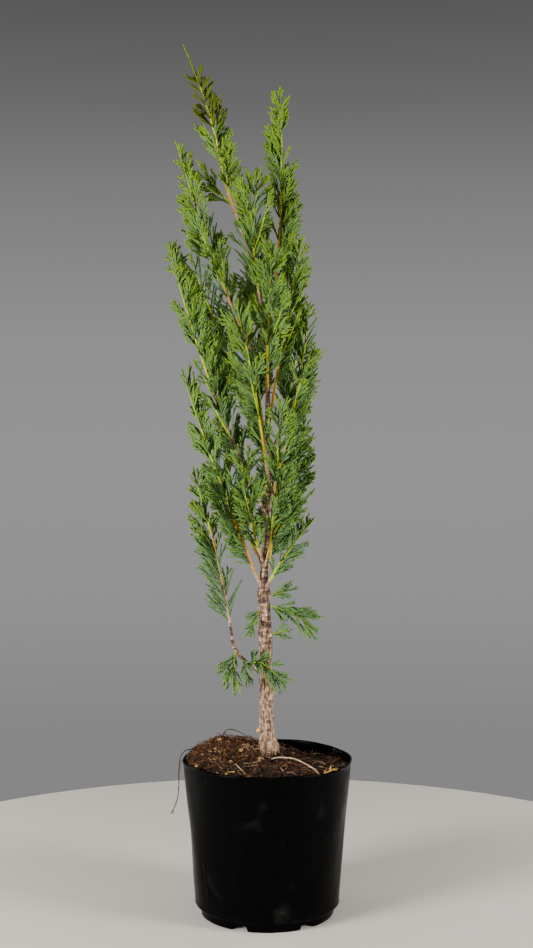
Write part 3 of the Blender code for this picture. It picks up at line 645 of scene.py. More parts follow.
def twig_with_blades(name, chance, root, stem_direction, turn, lean, length):
    """A side twig with a blade on its tip and others beside it, or one blade where none is free."""
    twig_lean = lean * TWIG_LEAN / SPRAY_LEAN
    ways = [leaning(stem_direction, turn + step * TURN_STEP, twig_lean) for step in range(TURNS_TRIED)]
    reaches = [length * share for share in LENGTHS_TRIED]
    twig = first_free(name, (twig_at(root, way, stem_direction, reach) for reach in reaches for way in ways))
    if twig:
        bearer = space.taken[name][-1]
        path = twig.path
        tip = path.point(path.length - ROOT_SUNK)
        onward = path.direction(path.length)
        at_tip = blades_from(name, chance, tip, onward, turn, 0.0, length * TERMINAL_SHARE, bearer)
        if at_tip:
            beside = []
            for count, share in enumerate(BLADES_ON_TWIG):
                place = path.point(share * path.length)
                onward = path.direction(share * path.length)
                reach = length * BLADE_SHARE * (1 - share * TWIG_THINNING)
                side_turn = turn + count * math.pi
                beside += blades_from(name, chance, place, onward, side_turn, lean, reach, bearer)
            return [twig, *at_tip, *beside]
        space.taken[name].pop()
    return blades_from(name, chance, root, stem_direction, turn, lean, length * BLADE_SHARE)


def sprays_along(limb, path, start, end):
    """Every main spray of a mass, from the foot of its stem to the blade on its tip."""
    chance = random.Random(limb.name)
    lean = SPRAY_LEAN * limb.lean
    tip = path.point(end - ROOT_SUNK)
    tip_length = max(path.length - end, SHORTEST_BLADE) + ROOT_SUNK
    grown = blades_from(limb.name, chance, tip, path.direction(end), 0.0, 0.0, tip_length)
    turn = chance.uniform(0, math.tau)
    places = np.arange(start + FIRST_SPRAY, end - LAST_SPRAY, SPRAY_STEP).tolist()
    for count, place in enumerate(places):
        share = (place - start) / (end - start)
        length = spray_length(limb, share)
        turn += GOLDEN_TURN
        grow = twig_with_blades
        if count % TWIG_EVERY or length < SHORTEST_TWIG:
            grow = blades_from
            length *= BLADE_SHARE
        length *= chance.uniform(*LENGTH_VARIES)
        grown += grow(limb.name, chance, path.point(place), path.direction(place), turn, lean, length)
    return grown

# %% [markdown]
# The plans so far match the solids of the frame. A real mass is denser, so a second walk along each
# stem fills in between them. Its sprays may come closer to each other, as cords pass between cords.

# %% The sprays of every mass
FILLER_STEP = 0.0042
LOOSE_FILLER_STEP = 0.0024
LOOSE_MASSES = (
    "stray_droop", "stray_fall", "stray_cross", "low_right_top", "low_right", "low_right_foot", "low_left",
)
FILLER_CLEARANCE = 0.0010
FILLER_MARGIN = -0.0040  # less than none, so fillers may cross into the space of the next mass
FILLER_VARIES = (0.75, 1.05)
FILLER_LENGTHS = (1.0, 0.85, 0.7, 0.55)
FILLER_LEANS = (0.8, 1.2)
MOST_DEPTH = 0.85  # how squarely a filler may point to the front or back, which leaves stems in view


def fillers_along(limb, path, start, end):
    """Sprays between the main ones, each as long as the room allows."""
    chance = random.Random(f"{limb.name}_filler")
    lean = SPRAY_LEAN * limb.lean
    turn = chance.uniform(0, math.tau)
    step = LOOSE_FILLER_STEP if limb.name in LOOSE_MASSES else FILLER_STEP
    grown = []
    for place in np.arange(start + step / 2, end, step).tolist():
        share = (place - start) / (end - start)
        length = spray_length(limb, share) * chance.uniform(*FILLER_VARIES)
        turn += GOLDEN_TURN
        along = path.direction(place)
        turns = [turn + count * TURN_STEP for count in range(TURNS_TRIED)]
        ways = [leaning(along, turned, lean * chance.uniform(*FILLER_LEANS)) for turned in turns]
        ways = [way for way in ways if abs((way - along * way.dot(along)).normalized().y) < MOST_DEPTH]
        candidates = [
            blade_at(path.point(place), way, chance.uniform(-MOST_ROLL, MOST_ROLL), length * reach)
            for reach in FILLER_LENGTHS
            for way in ways
        ]
        found = first_free(limb.name, candidates, margin=FILLER_MARGIN, clearance=FILLER_CLEARANCE)
        if found:
            grown.append(found)
    return grown


masses = {}
for limb in LIMBS:
    if limb.bare < 1:
        path = paths[limb.name]
        start = bare_ends[limb.name] + (GAP if limb.bare else 0.0)
        end = path.length - TIP_SHARE * limb.short
        masses[limb.name] = sprays_along(limb, path, start, end) + fillers_along(limb, path, start, end)
blades = [plan for grown in masses.values() for plan in grown if isinstance(plan, Blade)]
twigs = [plan for grown in masses.values() for plan in grown if isinstance(plan, Twig)]
print(f"{len(blades)} sprays and {len(twigs)} side twigs are planned")

# %% [markdown]
# ## Cords of scale leaves
#
# Up close the foliage is made of thin green cords, and every cord is made of pairs of small scales
# that hug it, each pair turned a quarter from the last. A ring of four points that is wide one way
# and then the other gives just that rhythm. One such cord is modelled for every number of scales,
# and it is then bent into each of its places by array arithmetic, which takes no longer for ten
# thousand cords than for ten.

# %% One cord of scales
SCALE_LENGTH = 0.0019
SCALE_SIDES = 4
NARROW_WAY = 0.70  # of a ring across its flat side, as a share of its wide side
LAST_RING = 0.80
FEWEST_SCALES = 2
MOST_SCALES = 34


def extruded_ring(bm, edges, step):
    """Draws a ring of edges up by one step. Returns the new ring's corners and edges."""
    grown = bmesh.ops.extrude_edge_only(bm, edges=edges)["geom"]
    corners = [part for part in grown if isinstance(part, bmesh.types.BMVert)]
    bmesh.ops.translate(bm, vec=(0.0, 0.0, step), verts=corners)
    return corners, [part for part in grown if isinstance(part, bmesh.types.BMEdge)]


def arrays_of(bm):
    """The bmesh's points and triangles as arrays."""
    bm.verts.index_update()
    points = np.array([corner.co for corner in bm.verts])
    faces = np.array([[corner.index for corner in face.verts] for face in bm.faces])
    bm.free()
    return points, faces


def cord_template(scales):
    """A straight cord of unit radius, one scale to each unit of height, as arrays."""
    bm = bmesh.new()
    corners = bmesh.ops.create_circle(bm, cap_ends=True, segments=SCALE_SIDES, radius=1.0)["verts"]
    edges = list({edge for corner in corners for edge in corner.link_edges})
    rings = [corners]
    for _ in range(scales):
        corners, edges = extruded_ring(bm, edges, 1.0)
        rings.append(corners)
    for count, ring in enumerate(rings[:-1]):
        size = LAST_RING if count == scales - 1 else 1.0
        narrow = size * NARROW_WAY
        bmesh.ops.scale(bm, vec=(narrow, size, 1.0) if count % 2 else (size, narrow, 1.0), verts=ring)
    bmesh.ops.pointmerge(bm, verts=rings[-1], merge_co=(0.0, 0.0, scales))
    bmesh.ops.triangulate(bm, faces=bm.faces)
    bmesh.ops.recalc_face_normals(bm, faces=bm.faces)
    return arrays_of(bm)

# %% Bending cords into their places
@dataclass
class Cord:
    """One cord: a curve from its start, through a control point, to its end."""

    start: Vector
    control: Vector
    end: Vector
    normal: Vector
    radius: float

    def point(self, share):
        rest = 1 - share
        return rest * rest * self.start + 2 * share * rest * self.control + share * share * self.end

    def direction(self, share):
        return ((1 - share) * (self.control - self.start) + share * (self.end - self.control)).normalized()

    def scales(self):
        length = (self.control - self.start).length + (self.end - self.control).length
        return min(max(round(length / SCALE_LENGTH), FEWEST_SCALES), MOST_SCALES)


def bent_cords(cords, scales):
    """All the cords of one length at once: points and triangles."""
    points, faces = cord_template(scales)
    fields = ("start", "control", "end", "normal")
    start, control, end, normal = (
        np.array([getattr(cord, field) for cord in cords])[:, None] for field in fields
    )
    radius = np.array([cord.radius for cord in cords])[:, None, None]
    share = (points[:, 2] / scales)[None, :, None]
    middle = (1 - share) ** 2 * start + 2 * share * (1 - share) * control + share**2 * end
    along = (1 - share) * (control - start) + share * (end - control)
    along /= np.linalg.norm(along, axis=2, keepdims=True)
    side = np.cross(normal, along)
    side /= np.linalg.norm(side, axis=2, keepdims=True)
    over = np.cross(along, side)
    placed = middle + radius * (points[None, :, 0:1] * side + points[None, :, 1:2] * over)
    shifts = np.arange(len(cords))[:, None, None] * len(points)
    return placed.reshape(-1, 3), (faces[None] + shifts).reshape(-1, 3)


def mesh_of_arrays(name, points, faces):
    mesh = bpy.data.meshes.new(name)
    mesh.vertices.add(len(points))
    mesh.vertices.foreach_set("co", points.astype(np.float32).ravel())
    mesh.loops.add(3 * len(faces))
    mesh.loops.foreach_set("vertex_index", faces.astype(np.int32).ravel())
    mesh.polygons.add(len(faces))
    mesh.polygons.foreach_set("loop_start", np.arange(0, 3 * len(faces), 3, dtype=np.int32))
    mesh.update(calc_edges=True)
    mesh.shade_smooth()
    return mesh


def piece(name, mesh, look, slot, *stands_for):
    """A finished piece of the object: it rides on the plant and stands for these nodes."""
    made = in_scene(name, mesh)
    mesh.materials.clear()
    mesh.materials.append(look)
    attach(made, BODY)
    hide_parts(*stands_for)
    return made

# %% [markdown]
# ## Growing a spray
#
# A spray is a flat fan. Its axis carries side cords by turns to the left and to the right, and each
# of these carries shorter ones. Side cords leave at a wide angle and bend forwards, so the whole
# spray points the way it grows. How long and how close they are is its habit: the crown's top is
# short and dense, and the few sprays low on the trunk are long, loose and drooping.

# %% Habits and growth
CORD_TILT = math.radians(22)  # how far side cords stray out of a spray's plane
SHORTEST_CORD = 0.0022
CORDS_FROM = 0.10  # share of a cord that is bare before its first side cord
CORDS_UNTIL = 0.0012  # metres from a cord's end, where its last side cord leaves it
FIRST_STEP = (0.6, 1.0)  # of a usual step
STEP_VARIES = (0.75, 1.25)
REACH_VARIES = (0.66, 1.16)
LEAN_VARIES = (0.75, 1.25)
AXIS_BEND = 0.05
DROOP_LENGTH = 0.03  # at which a cord droops by its habit's droop
LAST_ORDER = 2


@dataclass
class Habit:
    """How a kind of spray branches. Each tuple has a value for the axis and one for its side cords."""

    radius: tuple
    step: tuple
    share: tuple
    lean: tuple
    extra: float
    forwards: float  # how much of its lean a side cord has lost by its end
    droop: float = 0.0


FULL = Habit((0.00102, 0.00098, 0.00092), (0.0038, 0.0046), (0.64, 0.50), (0.46, 0.44), 0.0050, 0.62)
DENSE = Habit((0.00116, 0.00112, 0.00108), (0.0036, 0.0042), (0.66, 0.52), (0.42, 0.38), 0.0052, 0.75)
LOOSE = Habit((0.00100, 0.00096, 0.00090), (0.0052, 0.0080), (0.80, 0.20), (0.38, 0.42), 0.0030, 0.30, 0.18)


def grow_cord(cords, habit, order, start, direction, width, length, chance):
    """One cord and all the shorter ones that it bears, added to the list for its order."""
    bend = chance.uniform(-AXIS_BEND, AXIS_BEND)
    if order:
        onward = (direction - width * math.tan(habit.lean[order - 1] * habit.forwards)).normalized()
    else:
        onward = (direction + width * bend).normalized()
    onward = (onward + Vector((0.0, 0.0, -habit.droop * length / DROOP_LENGTH))).normalized()
    control = start + direction * length * 0.5
    end = control + onward * length * 0.5
    normal = direction.cross(width).normalized()
    if order and shuts_a_gap(control, end):
        return
    cord = Cord(start, control, end, normal, habit.radius[order])
    cords[order].append(cord)
    if order == LAST_ORDER:
        return
    side = chance.choice((-1, 1))
    place = max(length * CORDS_FROM, habit.step[order] * chance.uniform(*FIRST_STEP))
    while place < length - CORDS_UNTIL:
        share = place / length
        reach = (length - place) * habit.share[order] + habit.extra / (1 + order)
        reach *= chance.uniform(*REACH_VARIES)
        along = cord.direction(share)
        across = normal.cross(along).normalized()
        tilt = chance.gauss(0.0, CORD_TILT)
        out = (side * across * math.cos(tilt) + normal * math.sin(tilt)).normalized()
        lean = habit.lean[order] * chance.uniform(*LEAN_VARIES)
        way = math.cos(lean) * along + math.sin(lean) * out
        wide = (out - way * out.dot(way)).normalized()
        if reach > SHORTEST_CORD:
            grow_cord(cords, habit, order + 1, cord.point(share), way, wide, reach, chance)
        side = -side
        place += habit.step[order] * chance.uniform(*STEP_VARIES)

# %% The shade of each cord
DENSE_ABOVE = 0.735
LOOSE_BELOW = {"stray": 0.345, "right_low": 0.372, "left_low": 0.350}
LEADER_DARKENED_ABOVE = 0.765  # above this height the leader's scales are olive, their colour darker as painted shade for the dimmer light at the top
LEADER_BARE_ABOVE = 0.814
SHADES = ("deep", "green", "mid", "fresh", "lime")
# the leader's top takes an olive colour that is also darkened: painted shade for the light falling off there
LEADER_DARKENED_SHADE = "olive"
LOOSE_DARKER = 0.3  # of a shade
FRESHENING = 2.0  # shades from a spray's foot to its rim
LOOSE_FRESHENING = 0.7
FRESH_FROM, FRESH_OVER = 0.30, 0.50  # the height from which sprays are fresher, and over how much
HEIGHT_POWER = 1.6
HEIGHT_SHARE = 0.55
BASE_SHADE, HEIGHT_SHADES, ALONG_SHADES = 0.9, 2.1, 0.7
SPRAY_SPREAD, CORD_SPREAD = 0.26, 0.5  # in shades
AXIS_SHADES = -0.6
OUTER_MIDDLE = 0.55  # share of a spray's length at which its side cords have its own shade
shade_cords = {shade: [] for shade in (*SHADES, LEADER_DARKENED_SHADE)}


def shade_of(limb_name, blade, chance):
    """How fresh a spray is: more so higher up the plant and further along its stem."""
    low, high = paths[limb_name].points[0][2], paths[limb_name].points[-1][2]
    height = (blade.root.z - FRESH_FROM) / FRESH_OVER
    along = (blade.root.z - low) / max(high - low, 0.01)
    fresh = HEIGHT_SHARE * height**HEIGHT_POWER if height > 0 else 0.0
    return BASE_SHADE + HEIGHT_SHADES * fresh + ALONG_SHADES * abs(along) + chance.gauss(0.0, SPRAY_SPREAD)


for limb_name, grown in masses.items():
    chance = random.Random(f"{limb_name}_cords")
    for blade in grown:
        if not isinstance(blade, Blade) or (limb_name == "leader_top" and blade.root.z > LEADER_BARE_ABOVE):
            continue
        if limb_name in LOOSE_MASSES or blade.root.z < LOOSE_BELOW.get(limb_name, 0.0):
            habit = LOOSE
        else:
            habit = DENSE if blade.root.z > DENSE_ABOVE else FULL
        orders = ([], [], [])
        grow_cord(orders, habit, 0, blade.root, blade.direction, blade.width, blade.length, chance)
        shade = shade_of(limb_name, blade, chance) - (LOOSE_DARKER if habit is LOOSE else 0.0)
        freshening = LOOSE_FRESHENING if habit is LOOSE else FRESHENING
        for order, cords in enumerate(orders):
            for cord in cords:
                # cords high on the leader get the olive colour, darkened as painted shade
                if limb_name == "leader_top" and cord.start.z > LEADER_DARKENED_ABOVE:
                    shade_cords[LEADER_DARKENED_SHADE].append(cord)
                    continue
                outer = (cord.end - blade.root).length / blade.length
                fresher = freshening * (outer - OUTER_MIDDLE) if order else AXIS_SHADES
                index = round(shade + fresher + chance.gauss(0, CORD_SPREAD))
                shade_cords[SHADES[min(max(index, 0), len(SHADES) - 1)]].append(cord)
print(", ".join(f"{len(cords)} cords are {shade}" for shade, cords in shade_cords.items()))

# %% The leader's end
SHOOT_LENGTH = 0.044  # of the leader's last stretch, where scales sit on the stem itself
SHOOT_END = 0.0035  # from the leader's tip
SHOOT_STEP = 0.011
SHOOT_OVERLAP = 1.08  # a cord's length in steps
SHOOT_RADIUS = (0.00150, 0.00095)  # at its foot and at its tip
# start, middle and end of a green bud on the bulge low down on the trunk
BUD = ((0.0036, -0.0026, 0.2195), (0.0020, -0.0038, 0.2218), (-0.0008, -0.0044, 0.2250))
BUD_RADIUS = 0.0010


def scale_shoot(path, end, shade):
    """Short cords in a row along a stem, which dress it in scales."""
    marks = np.arange(end - SHOOT_LENGTH, end, SHOOT_STEP).tolist()
    for place in marks:
        share = (place - marks[0]) / SHOOT_LENGTH
        radius = SHOOT_RADIUS[0] + (SHOOT_RADIUS[1] - SHOOT_RADIUS[0]) * share
        spots = [path.point(min(place + part * SHOOT_STEP, end)) for part in (0.0, 0.5, SHOOT_OVERLAP)]
        shade_cords[shade].append(Cord(*spots, Vector((0.0, 1.0, 0.0)), radius))


leader = paths["leader_top"]
# the shoot's scales also get the olive colour, darkened as painted shade
scale_shoot(leader, leader.length - SHOOT_END, LEADER_DARKENED_SHADE)
shade_cords["fresh"].append(Cord(*map(Vector, BUD), Vector((0.0, -1.0, 0.0)), BUD_RADIUS))
print(f"{len(shade_cords[LEADER_DARKENED_SHADE])} cords are on the leader's end")

# %% Joining them by shade
MOST_TRIANGLES = 190_000  # in one piece, which keeps it small enough to export whole
SHADE_COLOURS = {
    "deep": (0.054, 0.108, 0.040),
    "green": (0.082, 0.158, 0.045),
    "mid": (0.104, 0.190, 0.036),
    "fresh": (0.112, 0.190, 0.014),
    "lime": (0.132, 0.206, 0.004),
    # olive: the leader top's own hue, made darker as painted shade for the dimmer light up there
    "olive": (0.064, 0.088, 0.004),
}


def leaf_finish(name, colour):
    """Waxy scale leaves: one plain colour, with a soft gloss and the grain of the scales in relief."""
    made, tree, shader = finish(name, colour, 0.6, Specular_IOR_Level=0.12)
    emboss(tree, shader, noise_over(tree, 900.0, 1.0), 0.25, 0.0003)
    return made


def joined_cords(cords):
    """The points and triangles of many cords, bent together by how many scales they have."""
    by_scales = {}
    for cord in cords:
        by_scales.setdefault(cord.scales(), []).append(cord)
    points, faces, total = [], [], 0
    for scales, group in sorted(by_scales.items()):
        placed, corners = bent_cords(group, scales)
        points.append(placed)
        faces.append(corners + total)
        total += len(placed)
    return np.concatenate(points), np.concatenate(faces)


foliage_triangles = 0
for shade, cords in shade_cords.items():
    look = leaf_finish(f"scale_leaves_{shade}", SHADE_COLOURS[shade])
    cords.sort(key=lambda cord: cord.start.z)
    triangles = sum(2 * SCALE_SIDES * cord.scales() - 2 for cord in cords)
    parts = math.ceil(triangles / MOST_TRIANGLES)
    for part in range(parts):
        share = cords[part * len(cords) // parts : (part + 1) * len(cords) // parts]
        points, faces = joined_cords(share)
        foliage_triangles += len(faces)
        mesh = mesh_of_arrays(f"cords_{shade}_{part + 1}", points, faces)
        piece(mesh.name, mesh, look, "foliage", *foliage_nodes)
        print(f"{mesh.name}: {len(share)} cords, {len(faces)} triangles")
print(f"{foliage_triangles} triangles of foliage")

# %% [markdown]
# ## Young stems
#
# The stems inside the foliage show as thin lines: yellow-green near their tips, ginger further down
# and pinkish grey where bark has formed. A number called age is stored on every corner of the mesh,
# and a colour ramp in the material reads it, so the colour follows the stem wherever it bends.

# %% A tube along a path
def ring_frame(path, place, radius):
    """The matrix that carries a unit circle to the path's section at this place."""
    direction = path.direction(place)
    side, other = axes_across(direction)
    turned = Matrix((side, other, direction)).transposed().to_4x4()
    return Matrix.Translation(path.point(place)) @ turned @ Matrix.Diagonal((radius, radius, 1.0, 1.0))


def draw_tube(bm, path, places, sides, swell=lambda place: 1.0):
    """Extrudes a circle along a path. Returns the rings of corners, from the first to the last."""
    frames = [ring_frame(path, place, path.radius(place) * swell(place)) for place in places]
    first = bmesh.ops.create_circle(bm, cap_ends=True, segments=sides, radius=1.0, matrix=frames[0])
    corners = first["verts"]
    rings = [corners]
    edges = list({edge for corner in corners for edge in corner.link_edges})
    for before, after in zip(frames, frames[1:]):
        corners, edges = extruded_ring(bm, edges, 0.0)
        bmesh.ops.transform(bm, matrix=after @ before.inverted(), verts=corners)
        rings.append(corners)
    bmesh.ops.contextual_create(bm, geom=edges)
    return rings


def mesh_from(name, bm):
    """A smooth mesh from this bmesh, with its faces turned outwards."""
    bmesh.ops.recalc_face_normals(bm, faces=bm.faces)
    mesh = bpy.data.meshes.new(name)
    bm.to_mesh(mesh)
    bm.free()
    mesh.shade_smooth()
    return mesh

# %% Every young stem and side twig
STEM_SIDES = 7
STEM_RING_STEP = 0.0030
STEM_SUNK = 0.004  # how far a stem starts inside its bare bough, and ends behind its tip
TWIG_SIDES = 6
TWIG_RINGS = 8
TWIG_AGE = 0.22
NODE_SWELL = 0.16  # how far a stem swells where a spray leaves it
NODE_SPACING = 0.0090
FULL_AGE = {"trunk": 0.30, "stray": 0.13, "left_low": 0.30, "left_outer": 0.27, "left_inner": 0.26}
USUAL_AGE = 0.27  # metres behind its tip at which a stem has grown bark
STEM_TONES = (
    (0.0, (0.12, 0.17, 0.008)),
    (0.22, (0.30, 0.40, 0.002)),
    (0.42, (0.48, 0.42, 0.002)),
    (0.60, (0.48, 0.19, 0.02)),
    (0.74, (0.36, 0.19, 0.10)),
    (1.0, (0.36, 0.22, 0.14)),
)
AGE_MOTTLING = 0.30  # how far the noise shifts the age


def node_swell(place):
    return 1 + NODE_SWELL * max(0.0, math.cos(math.tau * place / NODE_SPACING)) ** 4


def make_young_stems():
    bm = bmesh.new()
    age = bm.verts.layers.float.new("age")
    for limb in LIMBS:
        if limb.bare == 1:
            continue
        path = paths[limb.name]
        start = max(bare_ends[limb.name] - STEM_SUNK, 0.001)
        count = max(3, round((path.length - start) / STEM_RING_STEP))
        places = np.linspace(start, path.length - STEM_SUNK, count).tolist()
        full = FULL_AGE.get(limb.name, USUAL_AGE)
        for place, ring in zip(places, draw_tube(bm, path, places, STEM_SIDES, node_swell)):
            for corner in ring:
                corner[age] = min((path.length - place) / full, 1.0)
    for twig in twigs:
        places = np.linspace(0.0, twig.path.length, TWIG_RINGS).tolist()
        for ring in draw_tube(bm, twig.path, places, TWIG_SIDES):
            for corner in ring:
                corner[age] = TWIG_AGE
    return mesh_from("young_stems", bm)


def stem_finish():
    made, tree, shader = finish("young_stem", roughness=0.6, Specular_IOR_Level=0.12)
    grain = noise_over(tree, 260.0, 3.0)
    shifted = maths(tree, "ADD", stored(tree, "age"), maths(tree, "MULTIPLY", grain, AGE_MOTTLING))
    tone = coloured(tree, maths(tree, "SUBTRACT", shifted, AGE_MOTTLING / 2), STEM_TONES)
    tree.links.new(tone, shader.inputs["Base Color"])
    emboss(tree, shader, grain, 0.5, 0.0004)
    return made


young_stems = piece("young_stems", make_young_stems(), stem_finish(), "foliage", *foliage_nodes)
print(f"young_stems: {len(young_stems.data.polygons)} faces")

# %% [markdown]
# ## Bark
#
# The trunk and the bare boughs get their bark as real relief. Each ring of a tube is pushed in and
# out by noise that is stretched along the limb, which gives flaking strips near the foot, and fine
# rings higher up. How deep each corner lies is stored with the mesh, so that the material can darken
# the cracks. The age number goes on from the young stems, which makes the wood ginger higher up.

# %% Relief
BARK_SIDES = 44
BARK_STEP = 0.0011
FLARE_ROOTS = 5
FLARE_DEPTH = 0.10
FLARE_TOP = 0.175
LEADER_AGE = 0.52  # where the leader's own stem takes over from the trunk
FLAKY_BELOW = (0.165, 0.215)  # heights between which the foot's strips fade out
RINGED_FROM = (0.225, 0.250)  # heights between which the fine rings set in
RINGED_UNTIL = (0.330, 0.42)
RINGS_LEFT = 0.4  # of the rings' relief, above those heights
THIN_FROM = 0.33  # above this height the flakes shrink with the trunk's radius
FULL_RADIUS = 0.006
# height, degrees round from the right, spread and rise of each knot and swelling on the trunk
KNOTS = (
    (0.2765, -62, 0.0030, 0.0011), (0.2740, 186, 0.0026, 0.0013), (0.2560, 8, 0.0030, 0.0006),
    (0.2930, 200, 0.0028, 0.0005), (0.2380, 170, 0.0040, 0.0006), (0.3140, 180, 0.0045, 0.0010),
    (0.3140, 0, 0.0045, 0.0009), (0.1900, -4, 0.0018, 0.0017), (0.2180, -20, 0.0050, 0.0016),
    (0.1620, -15, 0.0050, 0.0018), (0.1600, 200, 0.0050, 0.0009),
)


def smooth_line(path, step=0.002, window=9):
    """The same line with its corners rounded, and its radius too."""
    points, radii = path.dense(step=step)
    table = np.column_stack([points, radii])
    half = window // 2
    before = 2 * table[:1] - table[half:0:-1]
    after = 2 * table[-1:] - table[-2 : -half - 2 : -1]
    padded = np.concatenate([before, table, after])
    smooth = np.column_stack([np.convolve(column, np.ones(window) / window, "valid") for column in padded.T])
    return Path(smooth[:, :3], np.abs(smooth[:, 3]))


def flare(height, turn):
    """How far the root flare swells the trunk at this height and turn."""
    cut = TRUNK_STATIONS[0][0]
    return FLARE_DEPTH * max(0.0, 1 - (height - cut) / (FLARE_TOP - cut)) * math.cos(FLARE_ROOTS * turn)


def strips(spot, across, along):
    """Noise that is stretched along the limb, from -1 in the cracks to 1 on the flakes."""
    place = Vector((spot.x * across, spot.y * across, spot.z * along))
    flakes = 1 - 2 * abs(noise.fractal(place, 1.0, 2.0, 3))
    return max(-1.0, min(1.0, 2.2 * flakes - 1.0 + 0.5 * noise.noise(place * 3.1)))


def ring_marks(spot):
    """Fine uneven rings round the limb."""
    height = spot.z + 0.0006 * noise.noise(spot * 180)
    coarse, fine = Vector((1.7, 0.3, height * 620)), Vector((4.1, 2.2, height * 1500))
    return noise.noise(coarse) + 0.5 * noise.noise(fine)


def fade(value, start, end):
    """From 0 at the start to 1 at the end, evenly."""
    return max(0.0, min(1.0, (value - start) / (end - start)))


def trunk_relief(spot, turn, radius):
    """The bark's rise at a spot on the trunk, and how light its flakes are there."""
    foot = 1 - fade(spot.z, *FLAKY_BELOW)
    ringed = fade(spot.z, *RINGED_FROM) * (1 - fade(spot.z, *RINGED_UNTIL) * (1 - RINGS_LEFT))
    flakes = strips(spot, 260, 60 + 40 * (1 - foot))
    rings = ring_marks(spot)
    rise = radius * flare(spot.z, turn) + flakes * (0.00012 + 0.00040 * foot + 0.00008 * ringed)
    rise *= 1.0 if spot.z < THIN_FROM else radius / FULL_RADIUS
    rise += rings * 0.00016 * ringed
    for height, side, spread, most in KNOTS:
        apart = math.hypot(spot.z - height, radius * math.remainder(turn - math.radians(side), math.tau))
        if apart < 3 * spread:
            rise += most * math.exp(-((apart / spread) ** 2))
    return rise, 0.62 * flakes + 0.5 * rings * ringed


def draw_bark(bm, path, places, sides, relief, age_at, swell=lambda place: 1.0):
    """A tube whose corners rise by the relief. Its corners keep their depth and their age."""
    depth = bm.verts.layers.float["depth"]
    age = bm.verts.layers.float["age"]
    for place, ring in zip(places, draw_tube(bm, path, places, sides, swell)):
        middle, radius = path.point(place), path.radius(place)
        for corner in ring:
            outward = (corner.co - middle).normalized()
            rise, corner[depth] = relief(corner.co, math.atan2(outward.y, outward.x), radius)
            corner.co += outward * rise
            corner[age] = age_at(place)


def new_bark():
    bm = bmesh.new()
    bm.verts.layers.float.new("depth")
    bm.verts.layers.float.new("age")
    return bm


def make_trunk_bark():
    bm = new_bark()
    path = smooth_line(trunk_path)
    places = np.linspace(0.0, path.length, round(path.length / BARK_STEP)).tolist()

    def age_at(place):
        return LEADER_AGE + (path.length - place) / USUAL_AGE

    draw_bark(bm, path, places, BARK_SIDES, trunk_relief, age_at)
    return mesh_from("trunk_bark", bm)

# %% Boughs and stubs
BOUGH_BARK_SIDES = 14
BOUGH_BARK_STEP = 0.0014
OLD_FOOT = 0.045  # from a bough's foot, in metres, its bark is older than the rest
SHORT_BOUGH = 0.06  # a shorter one is old all along
ARM_END_RADIUS = 0.0015
BEHIND_LEAVES = 0.002  # how far the bark runs on under the foliage
COLLAR = 0.55  # how far a bough swells where it leaves the trunk
COLLAR_REACH = 0.0045
# height, degrees round from the right, radius and reach from the trunk's middle of each pruned stub
STUBS = ((0.1750, 205, 0.0023, 0.0098), (0.2180, -30, 0.0032, 0.0092))
STUB_RISE = 0.35
STUB_TAPER = 1.25
STUB_RINGS = 8
STUB_SIDES = 20
CUT_SIZE = 1.05  # of the first stub's end, which is the one that shows pale wood
CUT_THICKNESS = 0.0016


def bough_relief(spot, turn, radius):
    flakes = strips(spot, 420, 120)
    rings = ring_marks(spot)
    return radius * (0.07 * flakes + 0.05 * rings), 0.5 * flakes + 0.3 * rings


def stub_line(height, turn, radius, reach):
    middle = trunk_path.point(trunk_path.distance_at_height(height))
    turn = math.radians(turn)
    outward = Vector((math.cos(turn), math.sin(turn), STUB_RISE)).normalized()
    return Path(np.array([middle, middle + outward * reach]), np.array([radius * STUB_TAPER, radius]))


def draw_bough(bm, limb):
    """The bark of one bare bough, from the middle of its parent to its foliage."""
    path, parent = paths[limb.name], paths[limb.parent]
    if limb.bare == 1:
        path = Path(path.points, np.linspace(limb.radius, ARM_END_RADIUS, LIMB_POINTS))
    skin = parent.radius(parent.distance_at_height(limb.leaves_at))
    end = min(bare_ends[limb.name] + BEHIND_LEAVES, path.length)
    places = np.linspace(0.0, end, max(6, round(end / BOUGH_BARK_STEP))).tolist()
    full = FULL_AGE.get(limb.name, USUAL_AGE)

    def age_at(place):
        if path.length < SHORT_BOUGH:
            return 1.0
        return max((path.length - place) / full, 1.0 - (place - skin) / OLD_FOOT)

    def collar(place):
        return 1 + COLLAR * math.exp(-(((place - skin) / COLLAR_REACH) ** 2))

    draw_bark(bm, path, places, BOUGH_BARK_SIDES, bough_relief, age_at, collar)


def make_bough_bark():
    bm = new_bark()
    for limb in LIMBS:
        if limb.bare:
            draw_bough(bm, limb)
    return mesh_from("bough_bark", bm)


def make_stubs():
    bm = new_bark()
    for spec in STUBS:
        line = stub_line(*spec)
        places = np.linspace(0.0, line.length, STUB_RINGS).tolist()
        draw_bark(bm, line, places, STUB_SIDES, bough_relief, lambda place: 1.0)
    return mesh_from("pruned_stubs", bm)


def make_pruning_cut():
    """The pale wood that shows on the end of the first stub."""
    bm = bmesh.new()
    line = stub_line(*STUBS[0])
    place = ring_frame(line, line.length, line.radius(line.length) * CUT_SIZE)
    place = place @ Matrix.Diagonal((1, 1, CUT_THICKNESS, 1))
    bmesh.ops.create_uvsphere(bm, u_segments=16, v_segments=8, radius=1.0, matrix=place)
    return mesh_from("pruning_cuts", bm)

